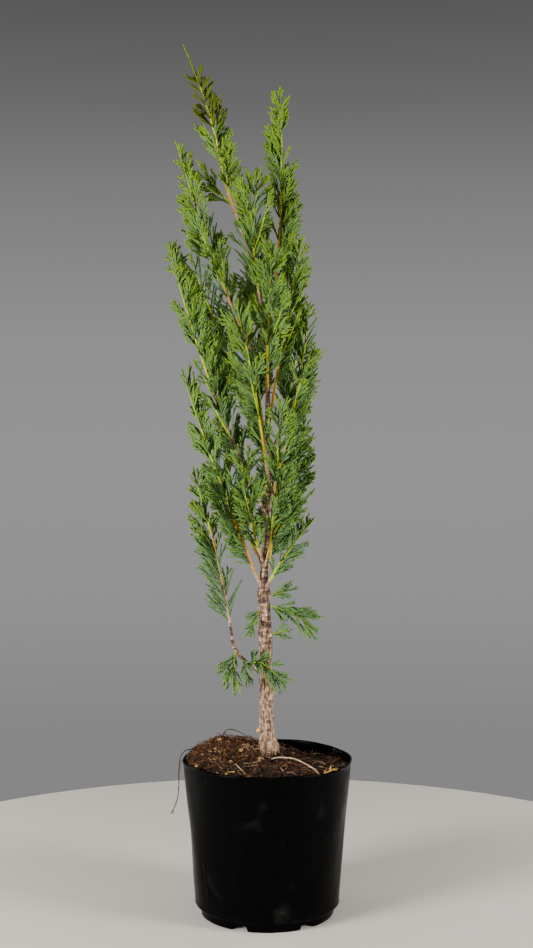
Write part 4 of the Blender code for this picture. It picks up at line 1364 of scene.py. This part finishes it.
# %% The bark's colours
BANDED_FROM = (0.225, 0.265)  # heights between which the bands round the trunk set in and the bark grows darker
BARK_FORMS = (0.62, 1.05)  # ages between which old bark takes over from young
BARK_TONES = (
    (0.00, (0.040, 0.022, 0.014)),
    (0.30, (0.130, 0.071, 0.042)),
    (0.50, (0.245, 0.150, 0.086)),
    (0.72, (0.410, 0.276, 0.158)),
    (1.00, (0.700, 0.545, 0.360)),
)
YOUNG_TONES = (
    (0.0, (0.30, 0.38, 0.004)),
    (0.50, (0.40, 0.36, 0.008)),
    (0.64, (0.42, 0.21, 0.040)),
    (0.80, (0.38, 0.24, 0.15)),
    (1.0, (0.32, 0.20, 0.13)),
)


def bark_finish():
    """Pinkish-tan bark: dark in its cracks, pale on its flakes, ginger where it is young.

    Its tone is a sum of the stored depth, fine grain, bands round the limb and wide patches. The bands are
    stronger above the foot, and the base makes the tone darker there.
    """
    made, tree, shader = finish("juniper_bark", roughness=0.8, Specular_IOR_Level=0.25)
    place = add(tree, "ShaderNodeTexCoord").outputs["Object"]
    height = add(tree, "ShaderNodeSeparateXYZ", {0: place}).outputs["Z"]
    grain = noise_over(tree, 560.0, 5.0, (1.0, 1.0, 0.22))
    bands = maths(tree, "SUBTRACT", noise_over(tree, 260.0, 3.0, (0.3, 0.3, 1.4)), 0.5)
    base = carried(tree, height, *BANDED_FROM, -0.90, -1.02)
    tone = maths(tree, "MULTIPLY_ADD", stored(tree, "depth"), 0.30, base)
    tone = maths(tree, "MULTIPLY_ADD", grain, 1.7, tone)
    tone = maths(tree, "MULTIPLY_ADD", bands, carried(tree, height, *BANDED_FROM, 0.3, 1.9), tone)
    tone = maths(tree, "MULTIPLY_ADD", noise_over(tree, 120.0, 3.0), 0.9, tone)
    age = stored(tree, "age")
    mixed = add(tree, "ShaderNodeMix", data_type="RGBA")
    tree.links.new(carried(tree, age, *BARK_FORMS), mixed.inputs[0])
    tree.links.new(coloured(tree, age, YOUNG_TONES), mixed.inputs[6])
    tree.links.new(coloured(tree, tone, BARK_TONES), mixed.inputs[7])
    tree.links.new(mixed.outputs[2], shader.inputs["Base Color"])
    emboss(tree, shader, grain, 1.0, 0.0010)
    return made


bark = bark_finish()
trunk_bark = piece("trunk_bark", make_trunk_bark(), bark, "bark", "trunk")
bough_bark = piece("bough_bark", make_bough_bark(), bark, "bark", *bough_nodes)
stubs = piece("pruned_stubs", make_stubs(), bark, "bark", "trunk")
piece("pruning_cuts", make_pruning_cut(), finish("cut_wood", (0.55, 0.27, 0.07), 0.7)[0], "bark", "trunk")
for part in (trunk_bark, bough_bark, stubs):
    print(f"{part.name}: {len(part.data.polygons)} faces")

# %% [markdown]
# ## The pot
#
# The pot is turned from one outline, from the middle of its underside up the wall, over the lip and
# down the inside. Soft black plastic is never quite round, so every corner is then moved a little:
# the rim wanders, the feet are cleared between, and a few dents and creases catch the light.

# %% Its outline
RIM_RADIUS = 0.0825
POT_HEIGHT = 0.152
WALL = 0.0013
FOOT_RADIUS = 0.0656
WALL_FOOT = (0.0712, 0.0125)  # radius and height
FOOT_COUNT = 6
FRONT_FOOT = math.radians(-84)
NOTCH_WIDTH = 0.0150
NOTCH_HEIGHT = 0.0055
POT_SEGMENTS = 264
WALL_TOP = 0.1482
WALL_RINGS = 30
WALL_INSET = 0.0004
# radius and height of each corner of the outline below the wall, over the lip and down inside
UNDERSIDE = (
    (0.0000, 0.0058), (0.0560, 0.0058), (0.0574, 0.0050), (0.0578, 0.0006), (0.0586, 0.0000),
    (0.0640, 0.0000), (0.0651, 0.0004), (0.0656, 0.0015), (0.0657, 0.0056), (0.0660, 0.0082),
    (0.0665, 0.0090), (0.0690, 0.0095), (0.0704, 0.0102), (0.0711, 0.0114),
)
LIP = (
    (0.08210, 0.1494), (0.08255, 0.1501), (0.08275, 0.1509), (0.08255, 0.1517), (0.08190, 0.1520),
    (0.08120, 0.1517), (0.08095, 0.1508),
)
INSIDE = ((0.0696, 0.0140), (0.0640, 0.0078), (0.0000, 0.0078))
# degrees round and height at both ends, width and depth of each dent in the wall; a rise is negative
DENTS = (
    (214, 0.052, 231, 0.026, 0.0030, 0.0011), (216, 0.058, 219, 0.030, 0.0022, -0.0008),
    (192, 0.136, 222, 0.131, 0.0020, 0.0005), (195, 0.127, 218, 0.123, 0.0018, 0.0005),
    (198, 0.117, 212, 0.116, 0.0018, 0.0004), (176, 0.112, 190, 0.060, 0.0140, 0.0010),
    (-14, 0.100, -22, 0.045, 0.0150, 0.0011), (252, 0.104, 256, 0.098, 0.0030, 0.0004),
    (28, 0.149, 33, 0.143, 0.0030, 0.0016), (38, 0.150, 40, 0.144, 0.0025, -0.0012),
)
# depth, how often round the rim, and phase of each wave that the rim wanders by
WANDERS = ((0.0007, 2, 1.1), (0.0004, 3, 0.4), (0.0002, 8, 0.0))
RISES = ((0.0007, 2, -0.7), (0.0004, 5, 2.0))
RIM_SAG = 0.0004
LOOSER_UPWARDS = 2.5
SWAY = 0.0005
STIFF_RADIUS = 0.05  # the underside keeps its shape within this radius
DUST = (
    (0.0, (0.0008, 0.0008, 0.0008)), (0.60, (0.0011, 0.0011, 0.0011)), (0.72, (0.006, 0.0056, 0.0052)),
    (1.0, (0.05, 0.05, 0.05)),
)


def wall_radius(height):
    """The radius of the pot's outer wall above its foot."""
    share = (height - WALL_FOOT[1]) / (POT_HEIGHT - WALL_FOOT[1])
    return WALL_FOOT[0] + share * (RIM_RADIUS - WALL_FOOT[0])


def pot_outline():
    heights = np.linspace(WALL_FOOT[1], WALL_TOP, WALL_RINGS).tolist()
    outside = [(wall_radius(height) - WALL_INSET, height) for height in heights]
    inside = [(wall_radius(height) - WALL - WALL_INSET, height) for height in heights[:0:-1]]
    return [*UNDERSIDE, *outside, *LIP, *inside, *INSIDE]

# %% How the plastic has given way
def dented(turn, height):
    """How far the wall is pushed in here."""
    total = 0.0
    for start, low, end, high, width, depth in DENTS:
        start, end = math.radians(start), math.radians(end)
        spot = Vector((math.remainder(turn - start, math.tau) * RIM_RADIUS, height - low))
        along = Vector(((end - start) * RIM_RADIUS, high - low))
        share = max(0.0, min(1.0, spot.dot(along) / along.length_squared))
        apart = (spot - along * share).length
        if apart < 3 * width:
            total += depth * math.exp(-((apart / width) ** 2))
    return total


def between_feet(turn):
    """Whether this turn lies in one of the gaps between the feet."""
    pitch = math.tau / FOOT_COUNT
    return abs(math.remainder(turn - FRONT_FOOT - pitch / 2, pitch)) < NOTCH_WIDTH / 2 / FOOT_RADIUS


def waves(parts, turn):
    return sum(depth * math.sin(count * turn + phase) for depth, count, phase in parts)


def settle_corner(corner):
    """Moves one corner of the turned pot to where the worn plastic lies."""
    radius = math.hypot(corner.x, corner.y)
    if radius < STIFF_RADIUS:
        return
    turn = math.atan2(corner.y, corner.x)
    if corner.z < NOTCH_HEIGHT and between_feet(turn):
        corner.z = NOTCH_HEIGHT
    loose = (corner.z / POT_HEIGHT) ** LOOSER_UPWARDS
    push = waves(WANDERS, turn) * loose - dented(turn, corner.z)
    sway = noise.noise(Vector((3 * math.cos(turn), 3 * math.sin(turn), corner.z * 22))) * SWAY
    scale = 1 + (push + sway * min(1.0, corner.z / 0.02)) / radius
    corner.x *= scale
    corner.y *= scale
    corner.z += loose * (waves(RISES, turn) - RIM_SAG)


def turned(bm, edges, steps, merged):
    """Spins these edges all the way round, and merges corners that lie this close."""
    around = {"axis": (0, 0, 1), "cent": (0, 0, 0), "angle": math.tau}
    bmesh.ops.spin(bm, geom=edges, steps=steps, use_merge=True, **around)
    bmesh.ops.remove_doubles(bm, verts=bm.verts, dist=merged)


def make_pot():
    bm = bmesh.new()
    outline = [bm.verts.new((radius, 0.0, height)) for radius, height in pot_outline()]
    edges = [bm.edges.new(pair) for pair in zip(outline, outline[1:])]
    turned(bm, edges, POT_SEGMENTS, 0.00002)
    for corner in bm.verts:
        settle_corner(corner.co)
    return mesh_from("nursery_pot", bm)


def pot_finish():
    """Black plastic with a soft sheen, faint streaks and a little dust."""
    made, tree, shader = finish("black_plastic", roughness=0.25, Specular_IOR_Level=0.02)
    streak = noise_over(tree, 160.0, 4.0, (1.0, 1.0, 0.12))
    tree.links.new(carried(tree, streak, 0.3, 0.7, 0.18, 0.32), shader.inputs["Roughness"])
    patch = noise_over(tree, 38.0, 7.0)
    tree.links.new(coloured(tree, patch, DUST), shader.inputs["Base Color"])
    emboss(tree, shader, patch, 0.12, 0.001)
    return made


pot = piece("nursery_pot", make_pot(), pot_finish(), "pot_plastic", "pot")
print(f"{pot.name}: {len(pot.data.polygons)} faces")

# %% [markdown]
# ## The potting mix
#
# The mix is a lumpy surface with thousands of loose bits on it: bark crumbs, chips, curly root
# fibres and a few pale flakes. The crumbs are copies of a few small lumps, scattered by a seeded
# rule. The roots that stand out are drawn one by one along points on the surface.

# %% The heap
SOIL_LEVEL = 0.1440
SOIL_BELOW_RIM = 0.0012
# x, y, height and spread of each mound or dip on the potting mix
SOIL_MOUNDS = (
    (-0.037, 0.030, 0.0165, 0.028),
    (-0.055, -0.012, 0.0060, 0.022),
    (0.010, -0.058, 0.0055, 0.030),
    (0.052, 0.044, -0.0040, 0.026),
    (0.001, 0.008, 0.0070, 0.017),
)
SOIL_RINGS = 84
SOIL_SEGMENTS = 220
SKIRT_SHARE, SKIRT_FOOT = 0.95, 0.120  # of the rim's radius, and the height of the hidden underside


def lumps(x, y):
    """Unevenness of the mix, in metres."""
    spot = Vector((x, y, 0.0))
    return 0.0034 * noise.fractal(spot * 70, 0.9, 2.0, 4) + 0.0014 * noise.noise(spot * 420)


def soil_height(x, y):
    """The height of the mix at this place. Near the wall it stays below the rim."""
    mounds = sum(
        height * math.exp(-((x - mx) ** 2 + (y - my) ** 2) / (2 * spread**2))
        for mx, my, height, spread in SOIL_MOUNDS
    )
    height = SOIL_LEVEL + mounds + lumps(x, y)
    inside = fade(math.hypot(x, y), 0.081, 0.070)
    return height if inside == 1 else min(height, POT_HEIGHT - SOIL_BELOW_RIM + inside * 0.02)


def make_soil():
    bm = bmesh.new()
    middle = bm.verts.new((0, 0, 0))
    last = bm.verts.new((wall_radius(0.140) - WALL - 0.0002, 0, 0))
    edge = bm.edges.new((middle, last))
    bmesh.ops.subdivide_edges(bm, edges=[edge], cuts=SOIL_RINGS)
    turned(bm, bm.edges[:], SOIL_SEGMENTS, 0.00001)
    for corner in bm.verts:
        corner.co.z = soil_height(corner.co.x, corner.co.y)
    rim = [edge for edge in bm.edges if edge.is_boundary]
    skirt = bmesh.ops.extrude_edge_only(bm, edges=rim)["geom"]
    for corner in skirt:
        if isinstance(corner, bmesh.types.BMVert):
            corner.co = (corner.co.x * SKIRT_SHARE, corner.co.y * SKIRT_SHARE, SKIRT_FOOT)
    bmesh.ops.contextual_create(bm, geom=[part for part in skirt if isinstance(part, bmesh.types.BMEdge)])
    return mesh_from("mix_surface", bm)


def mottled_finish(name, dark, light, scale):
    """A dull natural surface whose colour wanders between two tones."""
    made, tree, shader = finish(name, roughness=0.9, Specular_IOR_Level=0.2)
    patch = noise_over(tree, scale, 5.0)
    tone = coloured(tree, patch, ((0.0, dark), (0.42, dark), (0.66, light), (1.0, light)))
    tree.links.new(tone, shader.inputs["Base Color"])
    emboss(tree, shader, patch, 0.6, 0.0008)
    return made


def mix_piece(name, mesh, look):
    """A piece of the potting mix."""
    piece(name, mesh, look, "potting_mix", "potting_mix")
    print(f"{name}: {len(mesh.polygons)} faces")


damp_mix = mottled_finish("damp_mix", (0.006, 0.004, 0.003), (0.040, 0.020, 0.010), 420)
mix_piece("mix_surface", make_soil(), damp_mix)

# %% Crumbs and chips
# how many, sizes, dark tone, light tone, and the share of them on the heap
CRUMB_KINDS = {
    "dark_crumbs": (1900, (0.0008, 0.0027), (0.006, 0.004, 0.003), (0.034, 0.018, 0.010), 0.0),
    "brown_crumbs": (420, (0.0006, 0.0024), (0.034, 0.015, 0.008), (0.150, 0.062, 0.028), 0.2),
    "pale_flakes": (90, (0.0007, 0.0022), (0.260, 0.160, 0.070), (0.480, 0.320, 0.150), 0.3),
    "tan_chips": (46, (0.0019, 0.0042), (0.360, 0.220, 0.070), (0.620, 0.430, 0.170), 1.0),
}
TRUNK_MIDDLE = (0.001, 0.008)
TRUNK_CLEAR = 0.0085
HEAP = (-0.044, 0.010, 0.024)  # x, y and spread of the heap, where loose bits are thickest
MIX_RADIUS = 0.0785
MIX_SQUARE = 0.0795  # half the side of the square in which places are drawn
LUMP_KINDS = 6
LUMP_RANGE = (0.62, 1.12)
CRUMB_FLATNESS, CHIP_FLATNESS = 0.6, 0.25
CRUMB_GROWTH = (0.7, 1.0, 1.0, 1.6)


def lump_template(chance):
    """A small uneven lump, as points and triangles."""
    bm = bmesh.new()
    bmesh.ops.create_icosphere(bm, subdivisions=1, radius=1.0)
    for corner in bm.verts:
        corner.co *= chance.uniform(*LUMP_RANGE)
    return arrays_of(bm)


def spot_on_mix(chance, heaped):
    """A random place on the mix, clear of the trunk and the wall, on the heap in this share of cases."""
    while True:
        if chance.random() < heaped:
            x, y = chance.gauss(HEAP[0], HEAP[2]), chance.gauss(HEAP[1], HEAP[2])
        else:
            x, y = chance.uniform(-MIX_SQUARE, MIX_SQUARE), chance.uniform(-MIX_SQUARE, MIX_SQUARE)
        if math.hypot(x, y) < MIX_RADIUS and math.dist((x, y), TRUNK_MIDDLE) > TRUNK_CLEAR:
            return x, y


def scattered(name, count, sizes, heaped, flatness, chance):
    """Many turned and stretched copies of a few lumps, resting on the mix."""
    templates = [lump_template(chance) for _ in range(LUMP_KINDS)]
    points, faces, total = [], [], 0
    for _ in range(count):
        shape, corners = chance.choice(templates)
        x, y = spot_on_mix(chance, heaped)
        size = chance.uniform(*sizes) * chance.choice(CRUMB_GROWTH)
        stretch = Matrix.Diagonal((size, size * chance.uniform(0.4, 0.9), size * flatness))
        way = Matrix.Rotation(chance.uniform(0, math.tau), 3, "Z")
        tipped = Matrix.Rotation(chance.gauss(0, 0.6), 3, "X")
        place = Vector((x, y, soil_height(x, y) + size * 0.25))
        points.append(shape @ np.array(way @ tipped @ stretch).T + np.array(place))
        faces.append(corners + total)
        total += len(shape)
    return mesh_of_arrays(name, np.concatenate(points), np.concatenate(faces))


for name, (count, sizes, dark, light, heaped) in CRUMB_KINDS.items():
    chance = random.Random(name)
    flatness = CRUMB_FLATNESS if "crumbs" in name else CHIP_FLATNESS
    mesh = scattered(name, count, sizes, heaped, flatness, chance)
    mix_piece(name, mesh, mottled_finish(f"{name}_bark", dark, light, 300))

# %% Root fibres
FIBRE_SIDES = 5
FIBRE_STEPS = 6
FIBRE_END_RADIUS = 0.0001
FIBRE_REACH = 0.0790
FIBRE_ABOVE = 0.0003  # the mix
RING_STEP = 0.0016
NARROW_END = 0.05
# how many, length, radius, how curly, how high they arch, and the share of them on the heap
FIBRE_KINDS = {
    "dark_fibres": (520, (0.012, 0.034), (0.00016, 0.00042), 0.9, 0.0085, 0.40),
    "ginger_fibres": (330, (0.012, 0.036), (0.00015, 0.00040), 1.0, 0.0070, 0.75),
    "pale_fibres": (110, (0.010, 0.028), (0.00018, 0.00042), 0.6, 0.0045, 0.45),
    "wiry_fibres": (60, (0.014, 0.030), (0.00020, 0.00042), 1.2, 0.0110, 1.00),
}
FIBRE_COLOURS = {
    "dark_fibres": ((0.020, 0.009, 0.005), (0.080, 0.034, 0.016)),
    "ginger_fibres": ((0.085, 0.030, 0.010), (0.270, 0.105, 0.036)),
    "pale_fibres": ((0.300, 0.190, 0.100), (0.560, 0.400, 0.240)),
    "wiry_fibres": ((0.045, 0.018, 0.010), (0.160, 0.060, 0.026)),
}


def rounded(points, radius, end_radius, step=0.0012):
    """A path with its corners rounded through these points."""
    table = np.array(points, float)
    marks = np.arange(len(table))
    fine = np.linspace(0, len(table) - 1, 12 * (len(table) - 1) + 1)
    dense = np.column_stack([np.interp(fine, marks, column) for column in table.T])
    radii = np.linspace(radius, end_radius, len(dense))
    return smooth_line(smooth_line(Path(dense, radii), step, 7), step, 7)


def fibre(chance, kind):
    """One curly fibre that lies on the mix and arches a little above it."""
    _, lengths, radii, curl, arch, heaped = FIBRE_KINDS[kind]
    x, y = spot_on_mix(chance, heaped)
    way, turn = chance.uniform(0, math.tau), chance.gauss(0, curl)
    length, lift = chance.uniform(*lengths), chance.uniform(0.2, 1.0) * arch
    points = []
    for count in range(FIBRE_STEPS + 1):
        share = count / FIBRE_STEPS
        reach = math.hypot(x, y)
        if reach > FIBRE_REACH:
            x, y = x * FIBRE_REACH / reach, y * FIBRE_REACH / reach
        points.append((x, y, soil_height(x, y) + lift * math.sin(math.pi * share) + FIBRE_ABOVE))
        x += math.cos(way) * length / FIBRE_STEPS
        y += math.sin(way) * length / FIBRE_STEPS
        way += turn + chance.gauss(0, curl * 0.5)
        turn *= 0.9
    return rounded(points, chance.uniform(*radii), FIBRE_END_RADIUS, RING_STEP)


def lines_mesh(name, lines, sides):
    """Thin tubes along these paths, in one mesh. Each narrows almost to a point at both ends."""
    turns = np.arange(sides) * math.tau / sides
    circle, points, faces, total = np.array([np.cos(turns), np.sin(turns)]), [], [], 0
    for line in lines:
        count = max(4, round(line.length / RING_STEP))
        for place in np.linspace(0.0, line.length, count).tolist():
            middle, radius = line.point(place), line.radius(place)
            axes = np.array(axes_across(line.direction(place)))
            narrow = NARROW_END if place in (0.0, line.length) else 1.0
            points.append(np.array(middle) + narrow * radius * (circle.T @ axes))
        rings = total + np.arange(count - 1)[:, None] * sides
        low = (rings + np.arange(sides)).ravel()
        after = (rings + (np.arange(sides) + 1) % sides).ravel()
        faces.append(np.column_stack([low, low + sides, after]))
        faces.append(np.column_stack([after, low + sides, after + sides]))
        total += count * sides
    return mesh_of_arrays(name, np.concatenate(points), np.concatenate(faces))


for kind, (count, *_) in FIBRE_KINDS.items():
    chance = random.Random(kind)
    mesh = lines_mesh(kind, [fibre(chance, kind) for _ in range(count)], FIBRE_SIDES)
    mix_piece(kind, mesh, mottled_finish(f"{kind}_root", *FIBRE_COLOURS[kind], 200))

# %% Roots that stand out
ROOT_SIDES = 8
ON_THE_MIX = 0.05  # a height below this is measured from the mix
# radius at both ends, then x, y and height of each point
PALE_ROOTS = (
    (0.00068, 0.00068, (0.002, -0.010, 0), (0.008, -0.015, 0.005), (0.018, -0.021, 0.0085),
     (0.028, -0.028, 0.0095), (0.038, -0.037, 0.0080), (0.046, -0.047, 0.0050), (0.051, -0.057, 0.0010)),
    (0.0006, 0.0004, (0.050, -0.010, 0.0006), (0.060, -0.018, 0.002), (0.070, -0.024, 0.0006)),
    (0.0006, 0.0004, (0.012, -0.030, 0.0006), (0.014, -0.044, 0.003), (0.016, -0.058, 0.0006)),
    (0.0005, 0.0003, (-0.030, -0.034, 0.0006), (-0.020, -0.050, 0.002), (-0.022, -0.062, 0.0006)),
    (0.0006, 0.0003, (-0.004, -0.014, 0.001), (-0.014, -0.024, 0.002), (-0.024, -0.022, 0.0006)),
)
DARK_ROOTS = (
    (0.00052, 0.00042, (-0.060, 0.010, 0.001), (-0.070, 0.006, 0.1575), (-0.0785, -0.002, 0.1610),
     (-0.0850, -0.010, 0.1560), (-0.0862, -0.012, 0.1400), (-0.0858, -0.014, 0.1270),
     (-0.0872, -0.014, 0.1140), (-0.0925, -0.014, 0.1010), (-0.0945, -0.014, 0.0990)),
    (0.0004, 0.0003, (-0.0912, -0.014, 0.1042), (-0.0918, -0.015, 0.0985)),
    (0.0004, 0.0002, (-0.064, 0.0, 0.0006), (-0.074, -0.006, 0.1555), (-0.0840, -0.012, 0.1530),
     (-0.0850, -0.013, 0.1400)),
    (0.0006, 0.0003, (-0.046, 0.052, 0.0), (-0.043, 0.050, 0.1690), (-0.034, 0.046, 0.1700),
     (-0.024, 0.042, 0.1660), (-0.010, 0.034, 0.001)),
    (0.0005, 0.0003, (-0.030, 0.040, 0.0), (-0.022, 0.036, 0.1650), (-0.012, 0.030, 0.1630),
     (-0.005, 0.022, 0.0006)),
)
DRY_SPRIG = (
    (0.0011, 0.0005, (0.051, -0.050, 0.0006), (0.060, -0.044, 0.003), (0.068, -0.036, 0.005)),
    (0.0011, 0.0005, (0.054, -0.048, 0.001), (0.056, -0.040, 0.006)),
    (0.0010, 0.0005, (0.058, -0.046, 0.001), (0.067, -0.047, 0.003)),
    (0.0010, 0.0004, (0.060, -0.044, 0.002), (0.061, -0.034, 0.007)),
    (0.0009, 0.0004, (0.064, -0.040, 0.003), (0.072, -0.038, 0.004)),
    (0.0009, 0.0007, (-0.040, -0.046, 0.001), (-0.030, -0.048, 0.003)),
)
STANDING_OUT = {
    "pale_roots": (PALE_ROOTS, (0.340, 0.230, 0.120), (0.560, 0.420, 0.260)),
    "dark_roots": (DARK_ROOTS, (0.018, 0.010, 0.007), (0.070, 0.038, 0.026)),
    "dry_sprig": (DRY_SPRIG, (0.480, 0.260, 0.050), (0.640, 0.400, 0.110)),
}
FLECKS = ((-0.038, -0.040, 0.0016), (-0.033, 0.006, 0.0013))  # x, y and radius


def root(radius, end_radius, *points):
    placed = [(x, y, z if z > ON_THE_MIX else soil_height(x, y) + z) for x, y, z in points]
    return rounded(placed, radius, end_radius)


def make_flecks():
    """A granule of fertiliser and a scrap of green on the heap."""
    bm = bmesh.new()
    for x, y, size in FLECKS:
        place = Matrix.Translation((x, y, soil_height(x, y) + size * 0.8))
        bmesh.ops.create_icosphere(bm, subdivisions=2, radius=size, matrix=place)
    return mesh_from("green_flecks", bm)


for name, (lines, dark, light) in STANDING_OUT.items():
    mesh = lines_mesh(name, [root(*line) for line in lines], ROOT_SIDES)
    mix_piece(name, mesh, mottled_finish(f"{name}_skin", dark, light, 240))
teal, _, _ = finish("teal_granule", (0.010, 0.130, 0.090), 0.5)
mix_piece("green_flecks", make_flecks(), teal)
